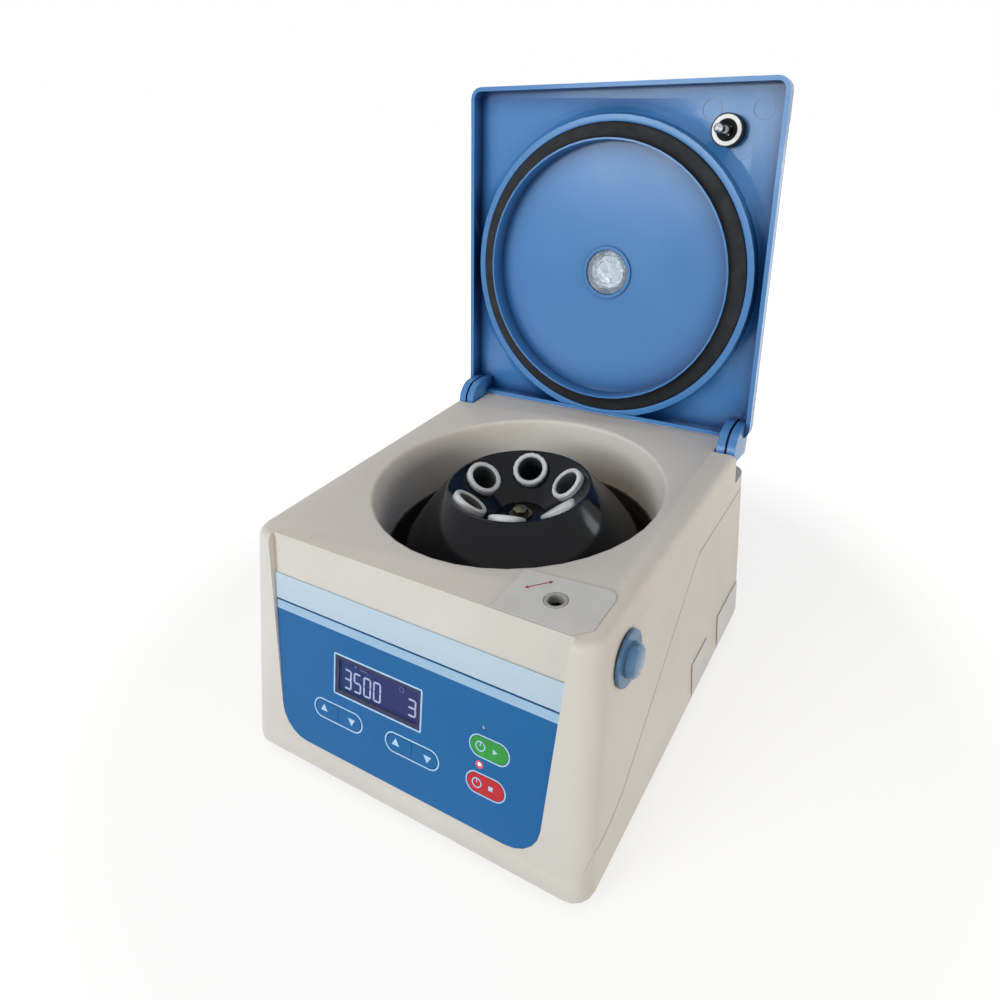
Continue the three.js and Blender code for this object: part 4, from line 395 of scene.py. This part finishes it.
def smoothed_copy(node, material, smooth=30):
    """A CAD node's copy with its triangles merged and its flats joined, so that rounds shade evenly."""
    source = frame["nodes"][node]
    edit = bmesh.new()
    edit.from_mesh(source.data)
    bmesh.ops.remove_doubles(edit, verts=edit.verts[:], dist=WELD_GAP * MM)
    bmesh.ops.dissolve_limit(
        edit, angle_limit=math.radians(FLAT_TURN), verts=edit.verts[:], edges=edit.edges[:],
        delimit={"NORMAL"},
    )
    piece = keep_mesh(node + "_skin", edit, source["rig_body"], material, smooth, (node,))
    if "custom_normal" in piece.data.attributes:
        piece.data.attributes.remove(piece.data.attributes["custom_normal"])
    return piece


def spun(profile, sides, place):
    """A turned shape about Z from (radius, height) points in millimetres, set in a frame."""
    edit = bmesh.new()
    row = [edit.verts.new((r * MM, 0, z * MM)) for r, z in profile]
    ring = list(zip(row, row[1:]))
    if profile[0][0] > 0:
        ring.append((row[-1], row[0]))
    edges = [edit.edges.new(pair) for pair in ring]
    bmesh.ops.spin(
        edit, geom=row + edges, cent=(0, 0, 0), axis=(0, 0, 1), angle=2 * math.pi, steps=sides,
        use_merge=True,
    )
    bmesh.ops.transform(edit, matrix=place, verts=edit.verts[:])
    return edit


def arc(radius_at, height_at, radius, start, end, count):
    """Points of an arc in a profile, its turns in degrees."""
    turns = [math.radians(start + (end - start) * i / count) for i in range(count + 1)]
    return [(radius_at + radius * math.cos(t), height_at + radius * math.sin(t)) for t in turns]


# Frames: the sloped panel, the lid and the rotor's axis

def reach(node, direction):
    """How far a CAD node's corners reach along a direction."""
    return max(direction.dot(vertex.co) for vertex in frame["nodes"][node].data.vertices)


MIDDLE = Vector(JOINTS["rotor_spin"]["pos_m"])
FEET = 7 * MM
PANEL_OUT = -Vector(JOINTS["press_start"]["axis"]).normalized()
PANEL_UP = PANEL_OUT.cross(X_AXIS).normalized()
PANEL_MARGIN = 0.35
PANEL_FOOT_HEIGHT = 20
PANEL_FACE = reach("keypad_overlay", PANEL_OUT)
PANEL_LOW = -reach("keypad_overlay", -PANEL_UP) - PANEL_MARGIN * MM


def panel_frame(x, height, face=PANEL_FACE):
    """The panel's frame at a place given in the case's own millimetres: Z points out of it."""
    up = PANEL_LOW + (height - PANEL_FOOT_HEIGHT) / PANEL_UP.z * MM
    place = PANEL_OUT * face + PANEL_UP * up + X_AXIS * (x * MM + MIDDLE.x)
    return Matrix.Translation(place) @ Matrix((X_AXIS, PANEL_UP, PANEL_OUT)).transposed().to_4x4()


LID_OPEN = math.radians(JOINTS["lid_hinge"]["range_deg"][1])
LID_FRAME = Matrix.Translation(Vector(JOINTS["lid_hinge"]["pos_m"])) @ Matrix.Rotation(-LID_OPEN, 4, "X")


def lid_frame(x, y, height=0.0):
    """The lid's frame at a place given as it lies when closed: Z points out of its top."""
    return LID_FRAME @ Matrix.Translation((x * MM, y * MM, height * MM))


# Print on the panel: thin raised ink, drawn in the panel's frame. Its sizes are in millimetres.

INK = 0.06
DISPLAY_PLACE = (-19, 78.8)
KEY_MARK_RADIUS = 3.3
LIT_LAMP_PLACE = (57.4, 62.6)


def pill_face(edit, width, height, sides=40):
    """A flat pill from a circle whose halves are drawn apart."""
    made = bmesh.ops.create_circle(edit, cap_ends=True, segments=sides, radius=height / 2 * MM)
    for vertex in made["verts"]:
        vertex.co.x += math.copysign((width - height) / 2 * MM, vertex.co.x)
    return made["verts"]


def bar_face(edit, width, height, radius=0.0):
    """A flat bar, its corners rounded where a radius is given."""
    made = bmesh.ops.create_grid(edit, x_segments=1, y_segments=1, size=0.5)
    bmesh.ops.scale(edit, vec=(width * MM, height * MM, 1), verts=made["verts"])
    if radius:
        bmesh.ops.bevel(
            edit, geom=made["verts"], offset=radius * MM, segments=5, profile=0.5,
            affect="VERTICES", material=-1,
        )
    return made["verts"]


def disc_face(edit, radius, sides=28):
    """A flat disc or, with few sides, a regular shape whose first corner points up."""
    return bmesh.ops.create_circle(edit, cap_ends=True, segments=sides, radius=radius * MM)["verts"]


def hollow_out(edit, line):
    """Keeps only a line's width along the border of each flat face."""
    faces = edit.faces[:]
    bmesh.ops.inset_region(edit, faces=faces, thickness=line * MM, use_even_offset=True, use_boundary=True)
    bmesh.ops.delete(edit, geom=faces, context="FACES")


def print_shape(name, edit, place, body="case", material="ink_pale", thickness=INK):
    """Flat faces become ink of a thickness in millimetres, laid at a place."""
    made = bmesh.ops.extrude_face_region(edit, geom=edit.faces[:])
    moved = [part for part in made["geom"] if isinstance(part, bmesh.types.BMVert)]
    bmesh.ops.translate(edit, verts=moved, vec=(0, 0, thickness * MM))
    bmesh.ops.transform(edit, matrix=place, verts=edit.verts[:])
    return finish_mesh(name, edit, body, material, smooth=20)


# Outlines round the keys: place, size and line of each

for name, x, height, width, tall, line in (
    ("print_speed_outline", -49.8, 50.4, 41.2, 14.2, 0.9),
    ("print_time_outline", 9.4, 50.4, 41.2, 14.2, 0.9),
    ("print_start_outline", 63.3, 74.3, 27.2, 14.6, 0.8),
    ("print_stop_outline", 62.4, 50.7, 27.2, 14.6, 0.8),
):
    edit = bmesh.new()
    pill_face(edit, width, tall)
    hollow_out(edit, line)
    print_shape(name, edit, panel_frame(x, height))

# Pale frame round the display, and the navy mask inside it

FRAME_SIZE = (69.6, 29.0)
FRAME_CORNER = 1.4
FRAME_LINE = 1.1
MASK_SIZE = (67.6, 27.0)
MASK_LINE = 2.4

edit = bmesh.new()
bar_face(edit, *FRAME_SIZE, FRAME_CORNER)
hollow_out(edit, FRAME_LINE)
print_shape("print_display_frame", edit, panel_frame(*DISPLAY_PLACE))

edit = bmesh.new()
bar_face(edit, *MASK_SIZE)
hollow_out(edit, MASK_LINE)
print_shape("print_display_mask", edit, panel_frame(*DISPLAY_PLACE), material="ink_navy", thickness=INK / 2)

# Arrowheads on the four keys that change speed and time

for name, body, x, height, turn in (
    ("print_speed_up", "key_speed_up", -61.6, 50.6, 0),
    ("print_speed_down", "key_speed_down", -38.4, 50.4, 180),
    ("print_time_up", "key_time_up", -2.8, 50.6, 0),
    ("print_time_down", "key_time_down", 21.2, 50.4, 180),
):
    edit = bmesh.new()
    disc_face(edit, KEY_MARK_RADIUS, sides=3)
    turned = Matrix.Rotation(math.radians(turn), 4, "Z")
    print_shape(name, edit, panel_frame(x, height, reach(body, PANEL_OUT)) @ turned, body)

# Start and stop: an open ring with its bar, and beside it a plain triangle or square

KEY_RING_LINE = 0.7
KEY_RING_BAR = (0.7, 2.6)
KEY_RING_BAR_RISE = 1.6
KEY_SIGN_RADIUS = 2.0
KEY_SIGN_STEP = 9.4

for key, x, height, sign_sides in (("start", 57.4, 74.3, 3), ("stop", 56.5, 50.7, 4)):
    body = f"key_{key}"
    face = reach(body, PANEL_OUT)
    edit = bmesh.new()
    disc_face(edit, KEY_MARK_RADIUS)
    hollow_out(edit, KEY_RING_LINE)
    risen = Matrix.Translation((0, KEY_RING_BAR_RISE * MM, 0))
    bmesh.ops.transform(edit, matrix=risen, verts=bar_face(edit, *KEY_RING_BAR))
    print_shape(f"print_{key}_ring", edit, panel_frame(x, height, face), body)
    edit = bmesh.new()
    disc_face(edit, KEY_SIGN_RADIUS, sides=sign_sides)
    turned = Matrix.Rotation(math.radians(-90 if sign_sides == 3 else 45), 4, "Z")
    print_shape(f"print_{key}_sign", edit, panel_frame(x + KEY_SIGN_STEP, height, face) @ turned, body)

# Pale strip printed along the top of the keypad

STRIP_TALL = 5.8
STRIP_HEIGHT = 109.9
STRIP_MARGIN = 0.5

low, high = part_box("keypad_overlay")
edit = bmesh.new()
bar_face(edit, (high.x - low.x) / MM - 2 * STRIP_MARGIN, STRIP_TALL)
print_shape("print_border_strip", edit, panel_frame(0, STRIP_HEIGHT), material="film_pale")

# Painted glow on the film round the lit lamp: a red ring that gives light as the lamp's spill would

HALO_RADIUS = 2.5
HALO_LINE = 1.0

edit = bmesh.new()
disc_face(edit, HALO_RADIUS)
hollow_out(edit, HALO_LINE)
print_shape("painted_lamp_glow_ring", edit, panel_frame(*LIT_LAMP_PLACE), material="lamp_halo", thickness=INK / 2)


# Figures on the display: slim bars with pointed ends, and two small plain signs above them

SPEED_PLACE = (-43.9, 76.4)
SPEED_FIGURE = (5.0, 12.6)
SPEED_STEP = 7.9
TIME_PLACE = (6.8, 76.6)
TIME_FIGURE = (5.4, 10.6)
DIGIT_BARS = {"0": "abcdef", "3": "abcdg", "5": "acdfg"}
BAR_PLACES = {
    "a": (0, 1, 90), "b": (0.5, 0.5, 0), "c": (0.5, -0.5, 0), "d": (0, -1, 90),
    "e": (-0.5, -0.5, 0), "f": (-0.5, 0.5, 0), "g": (0, 0, 90),
}
BAR_WIDTH = 1.25
BAR_GAP = 0.25
DISPLAY_FACE = reach("display_module", PANEL_OUT)


def figure(name, sign, x, height, width, tall):
    """One lit figure, its middle at a place on the panel, from its bars."""
    edit = bmesh.new()
    for key in DIGIT_BARS[sign]:
        across, up, turn = BAR_PLACES[key]
        length = (width if turn else tall / 2) - BAR_GAP
        radius = BAR_WIDTH / math.sqrt(3)
        bar = disc_face(edit, radius, sides=6)
        for vertex in bar:
            vertex.co.y += math.copysign((length / 2 - radius) * MM, vertex.co.y)
        turned = Matrix.Rotation(math.radians(turn), 4, "Z")
        there = Matrix.Translation((across * width * MM, up * tall / 2 * MM, 0))
        bmesh.ops.transform(edit, matrix=there @ turned, verts=bar)
    print_shape(name, edit, panel_frame(x, height, DISPLAY_FACE), material="figure_glow")


for i, sign in enumerate("3500"):
    figure(f"display_speed_{i}", sign, SPEED_PLACE[0] + SPEED_STEP * i, SPEED_PLACE[1], *SPEED_FIGURE)
figure("display_time", "3", *TIME_PLACE, *TIME_FIGURE)

TIME_SIGN_PLACE = (-1.2, 85.4)
TIME_SIGN_RADIUS = 1.9
TIME_SIGN_LINE = 0.6
SPEED_SIGN_PLACE = (-37.6, 87.0)
SPEED_SIGN_RADIUS = 1.4
SPEED_BAR = (6.4, 0.9)
SPEED_BAR_OFFSET = Vector((6.4, -0.6, 0))

edit = bmesh.new()
disc_face(edit, TIME_SIGN_RADIUS)
hollow_out(edit, TIME_SIGN_LINE)
print_shape("display_time_sign", edit, panel_frame(*TIME_SIGN_PLACE, DISPLAY_FACE), material="mark_glow")
edit = bmesh.new()
disc_face(edit, SPEED_SIGN_RADIUS, sides=3)
there = Matrix.Translation(SPEED_BAR_OFFSET * MM)
bmesh.ops.transform(edit, matrix=there, verts=bar_face(edit, *SPEED_BAR))
print_shape("display_speed_sign", edit, panel_frame(*SPEED_SIGN_PLACE, DISPLAY_FACE), material="mark_glow")


# Red double arrow beside the striker's hole

ARROW_TIPS = (Vector((65.3, -103.2)), Vector((77.1, -91.2)))
ARROW_LINE = 0.8
ARROW_HEAD = 1.6
ARROW_HEAD_INSET = 1.4
ARROW_BAR_INSET = 2

along = ARROW_TIPS[1] - ARROW_TIPS[0]
edit = bmesh.new()
bar_face(edit, along.length - 2 * ARROW_BAR_INSET, ARROW_LINE)
for side in (-1, 1):
    head = disc_face(edit, ARROW_HEAD, sides=3)
    spin = Matrix.Rotation(-side * math.pi / 2, 4, "Z")
    place = Matrix.Translation((side * (along.length / 2 - ARROW_HEAD_INSET) * MM, 0, 0))
    bmesh.ops.transform(edit, matrix=place @ spin, verts=head)
middle = (ARROW_TIPS[0] + ARROW_TIPS[1]) / 2 * MM
place = Matrix.Translation((middle.x + MIDDLE.x, middle.y + MIDDLE.y, reach("deck_plate", Z_AXIS)))
turned = Matrix.Rotation(math.atan2(along.y, along.x), 4, "Z")
print_shape("print_deck_arrow", edit, place @ turned, material="ink_red")


# Painted shade of the joint between the two halves of the case: a soft tan strip along each side

SEAM_PLACES = ((117, 121.0), (20, 121.9), (-110, 39.4), (-126, 34.4), (-141, 32.9))
SEAM_WIDTH = 1.4
CASE_HEIGHT = 156.7
FOOT_HALF_WIDTH = 129.7
DECK_HALF_WIDTH = 125

for name, mirrored in (("painted_seam_shade_right", 1), ("painted_seam_shade_left", -1)):
    edit = bmesh.new()
    row = [edit.verts.new((y * MM, z * MM, 0)) for y, z in SEAM_PLACES]
    chain = [edit.edges.new(pair) for pair in zip(row, row[1:])]
    made = bmesh.ops.extrude_edge_only(edit, edges=chain)
    raised = [part for part in made["geom"] if isinstance(part, bmesh.types.BMVert)]
    bmesh.ops.translate(edit, verts=raised, vec=(0, SEAM_WIDTH * MM, 0))
    rise = Vector((DECK_HALF_WIDTH - FOOT_HALF_WIDTH, 0, CASE_HEIGHT)).normalized()
    along = Vector((0, 1, 0))
    turned = Matrix((along, rise, along.cross(rise))).transposed().to_4x4()
    foot = Matrix.Translation((FOOT_HALF_WIDTH * MM, 0, 0))
    middle = Matrix.Translation((MIDDLE.x, MIDDLE.y, FEET))
    place = middle @ Matrix.Scale(mirrored, 4, X_AXIS) @ foot @ turned
    print_shape(name, edit, place, material="joint_tan")


# Lid: rubber ring with its thin inner lip, in profiles of (radius, height) as the lid lies closed

RING_Y = -120.5
RING_SIDES = 144
SIGHT_SIDES = 72

gasket_profile = (
    [(100.5, 9.7), (100.5, 0.1), (100.65, -0.2), (100.9, 0.1)] + arc(104.4, 0.9, 3.4, 180, 100, 6)
    + [(104.4, 4.4)] + arc(109.6, 6.2, 1.8, 270, 360, 5) + [(111.4, 9.7)]
)
edit = spun(gasket_profile, RING_SIDES, lid_frame(0, RING_Y))
finish_mesh("gasket_ring", edit, "lid", "rubber", smooth=50, stands_for=("lid_gasket",))

# Rounded crest of the lid's ring, outside the rubber

crest_profile = (
    [(111.6, 9.5), (111.6, 6.2)] + arc(112.5, 6.2, 0.9, 180, 270, 4)
    + [(114.6, 5.3), (114.6, 5.9), (113.7, 9.5)]
)
edit = spun(crest_profile, RING_SIDES, lid_frame(0, RING_Y))
finish_mesh("lid_ring_crest", edit, "lid", "lid_abs", smooth=50)

# Sight glass: a domed disc with a flange, and the plug that stands in the lid's hole

sight_profile = [
    (0, 11.6), (5.0, 11.5), (8.6, 11.2), (9.4, 10.5), (12.8, 10.25), (16.4, 10.3), (17.3, 10.6),
    (17.6, 11.1), (17.6, 12.4), (13.3, 12.4), (13.3, 21.4), (12.8, 21.9), (0, 21.9),
]
edit = spun(sight_profile, SIGHT_SIDES, lid_frame(0, RING_Y))
finish_mesh("sight_glass", edit, "lid", "acrylic_cloudy", smooth=28, stands_for=("sight_window",))

# Rings that ejector pins left on the tray's floor

TRAY_FLOOR = 15.5
PIN_PLACES = ((71.8, -240.0), (107.9, -239.6), (95.7, -213.7))
PIN_RADIUS = 7.5
PIN_LINE = 0.65
PIN_RISE = 0.2

for i, (x, y) in enumerate(PIN_PLACES):
    edit = bmesh.new()
    disc_face(edit, PIN_RADIUS, sides=40)
    hollow_out(edit, PIN_LINE)
    place = lid_frame(x, y, TRAY_FLOOR) @ Matrix.Rotation(math.pi, 4, "X")
    print_shape(f"lid_pin_mark_{i + 1}", edit, place, "lid", "pin_mark", thickness=PIN_RISE)


# CAD pieces that keep their shape: copies with smooth rounds, by material, each with the sharpest
# turn in degrees that still shades evenly

COPIES = {
    "case_abs": (("upper_housing", "base_shell"), 32),
    "lid_abs": (("lid_shell",), 30),
    "rotor_black": (("rotor_body",), 34),
    "bowl_enamel": (("chamber_bowl",), 34),
    "button_abs": (("release_button",), 32),
    "bezel_abs": (("release_bezel",), 32),
    "steel_turned": (("striker_pin", "motor_shaft", "bearing_upper", "bearing_lower"), 40),
    "plug_white": (("striker_ring",), 40),
    "bush_grey": (("striker_bush",), 40),
    "rubber": (("striker_cup", "foot_1", "foot_2", "foot_3", "foot_4"), 40),
    "vinyl_grey": (("deck_plate",), 30),
    "film_blue": (("keypad_overlay",), 30),
    "film_header": (("header_strip",), 30),
    "brass": (("rotor_washer", "rotor_nut"), 30),
    "moulding_black": (("power_entry", "power_rocker"), 30),
    "steel_plated": (("motor_can",), 30),
    "alloy_cast": (("motor_end_bell",), 30),
    "sleeve_acetal": (tuple(f"tube_sleeve_{i}" for i in range(1, 7)), 40),
}
for material, (nodes, smooth) in COPIES.items():
    for node in nodes:
        smoothed_copy(node, material, smooth)

# The button's spring, copied with a mesh of its own

spring = smoothed_copy("button_spring", "steel_turned", 60)
low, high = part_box("button_spring")
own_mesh(spring)

# CAD nodes shown as they are, by material

KEPT = {
    "film_blue": ("key_speed_up", "key_speed_down", "key_time_up", "key_time_down"),
    "film_green": ("key_start",),
    "film_red": ("key_stop",),
    "lamp_lit": ("lamp_run",),
    "lamp_dark": ("lamp_ready",),
    "acrylic_smoke": ("display_window",),
    "display_glass": ("display_module",),
    "board": ("panel_board", "main_board"),
    "vinyl_grey": ("side_plate_rear", "side_plate_front"),
    "steel_turned": ("hinge_pin_left", "hinge_pin_right"),
    "steel_plated": ("latch_bracket", "latch_pawl", "motor_plate"),
    "moulding_black": ("lid_switch",),
    "rubber": ("damper_1", "damper_2", "damper_3"),
    "laminations": ("transformer",),
}
for material, nodes in KEPT.items():
    for node in nodes:
        slots = frame["nodes"][node].data.materials
        slots.clear()
        slots.append(MATERIALS[material])


# Floor, backdrop and light

SEEN = ("Is Camera Ray", "Is Glossy Ray", "Is Transmission Ray")
FLOOR_HALF = 6.0
FLOOR_GLOW = 1.5
FLOOR_GLOW_REACH = (0.3, 0.75)
PAINT_MOST = 0.5
SKY_LIGHT = 0.28


def seen_rays(tree):
    """1 for the rays that look at the backdrop, and 0 for those that light the object by it."""
    rays = add(tree, "ShaderNodeLightPath")
    share = rays.outputs[SEEN[0]]
    for kind in SEEN[1:]:
        either = add(tree, "ShaderNodeMath", {0: share, 1: rays.outputs[kind]}, operation="MAXIMUM")
        share = either.outputs[0]
    return share


def make_floor():
    """A pale floor that keeps the object's shadow near it and runs out into white further off."""
    edit = bmesh.new()
    bmesh.ops.create_grid(edit, x_segments=1, y_segments=1, size=FLOOR_HALF)
    mesh = bpy.data.meshes.new("floor")
    edit.to_mesh(mesh)
    edit.free()
    floor = bpy.data.objects.new("floor", mesh)
    bpy.context.scene.collection.objects.link(floor)
    finish("floor_paint", "painted_floor_pale_grey", ("#bebebc", "#c4c4c2"), 400, (0.65, 0.75), 300)
    made = MATERIALS["floor_paint"]
    tree = made.node_tree
    paint = tree.nodes["Principled BSDF"].outputs["BSDF"]
    where = add(tree, "ShaderNodeTexCoord").outputs["Object"]
    far = add(tree, "ShaderNodeVectorMath", {0: where}, operation="LENGTH").outputs["Value"]
    fade = add(tree, "ShaderNodeMapRange", {
        "Value": far, "From Min": FLOOR_GLOW_REACH[0], "From Max": FLOOR_GLOW_REACH[1],
        "To Min": PAINT_MOST, "To Max": 0.0,
    })
    white = add(tree, "ShaderNodeEmission", {"Color": (1, 1, 1, 1), "Strength": FLOOR_GLOW})
    shaded = add(tree, "ShaderNodeMixShader", {
        0: fade.outputs["Result"], 1: white.outputs["Emission"], 2: paint,
    })
    look = add(tree, "ShaderNodeMixShader", {0: seen_rays(tree), 1: paint, 2: shaded.outputs["Shader"]})
    tree.links.new(look.outputs["Shader"], tree.nodes["Material Output"].inputs["Surface"])
    mesh.materials.append(made)


def make_world():
    """Soft light from all round, behind a white backdrop."""
    world = bpy.data.worlds.new("studio")
    bpy.context.scene.world = world
    world.use_nodes = True
    tree = world.node_tree
    soft = tree.nodes["Background"]
    soft.inputs["Color"].default_value = (0.97, 0.98, 1.0, 1)
    soft.inputs["Strength"].default_value = SKY_LIGHT
    white = add(tree, "ShaderNodeBackground", {"Color": (1, 1, 1, 1), "Strength": 1.0})
    both = add(tree, "ShaderNodeMixShader", {
        0: seen_rays(tree), 1: soft.outputs["Background"], 2: white.outputs["Background"],
    })
    tree.links.new(both.outputs["Shader"], tree.nodes["World Output"].inputs["Surface"])


def make_lamp(name, place, target, width, height, power, colour, mirrored=True):
    """An area lamp in metres and watts, turned to a target; one that isn't mirrored shows in no shine."""
    data = bpy.data.lights.new(name, "AREA")
    data.shape = "RECTANGLE"
    data.size = width
    data.size_y = height
    data.energy = power
    data.color = colour
    lamp = bpy.data.objects.new(name, data)
    lamp.location = place
    lamp.visible_glossy = mirrored
    lamp.rotation_euler = (Vector(target) - Vector(place)).to_track_quat("-Z", "Y").to_euler()
    bpy.context.scene.collection.objects.link(lamp)


make_floor()
make_world()
make_lamp("window_lamp", (-0.8, -1.8, 0.98), (0, 0, 0.2), 1.4, 1.0, 19.5, (0.89, 0.955, 1.0), False)
make_lamp("ceiling_lamp", (-0.2, -0.5, 1.8), (0, 0, 0.15), 1.2, 1.2, 5.5, (1.0, 0.84, 0.66), False)
make_lamp("side_lamp", (1.7, -0.25, 0.38), (0, 0, 0.12), 1.0, 0.7, 10.0, (1.0, 0.91, 0.80), False)
make_lamp("front_pane", (-0.85, -2.66, 0.96), (0, 0.15, 0.35), 1.3, 0.6, 15, (0.86, 0.96, 1.0))
make_lamp("rear_pane", (0.97, 0.79, 0.62), (0, 0, 0.15), 0.24, 0.34, 1.4, (0.86, 0.94, 1.0))
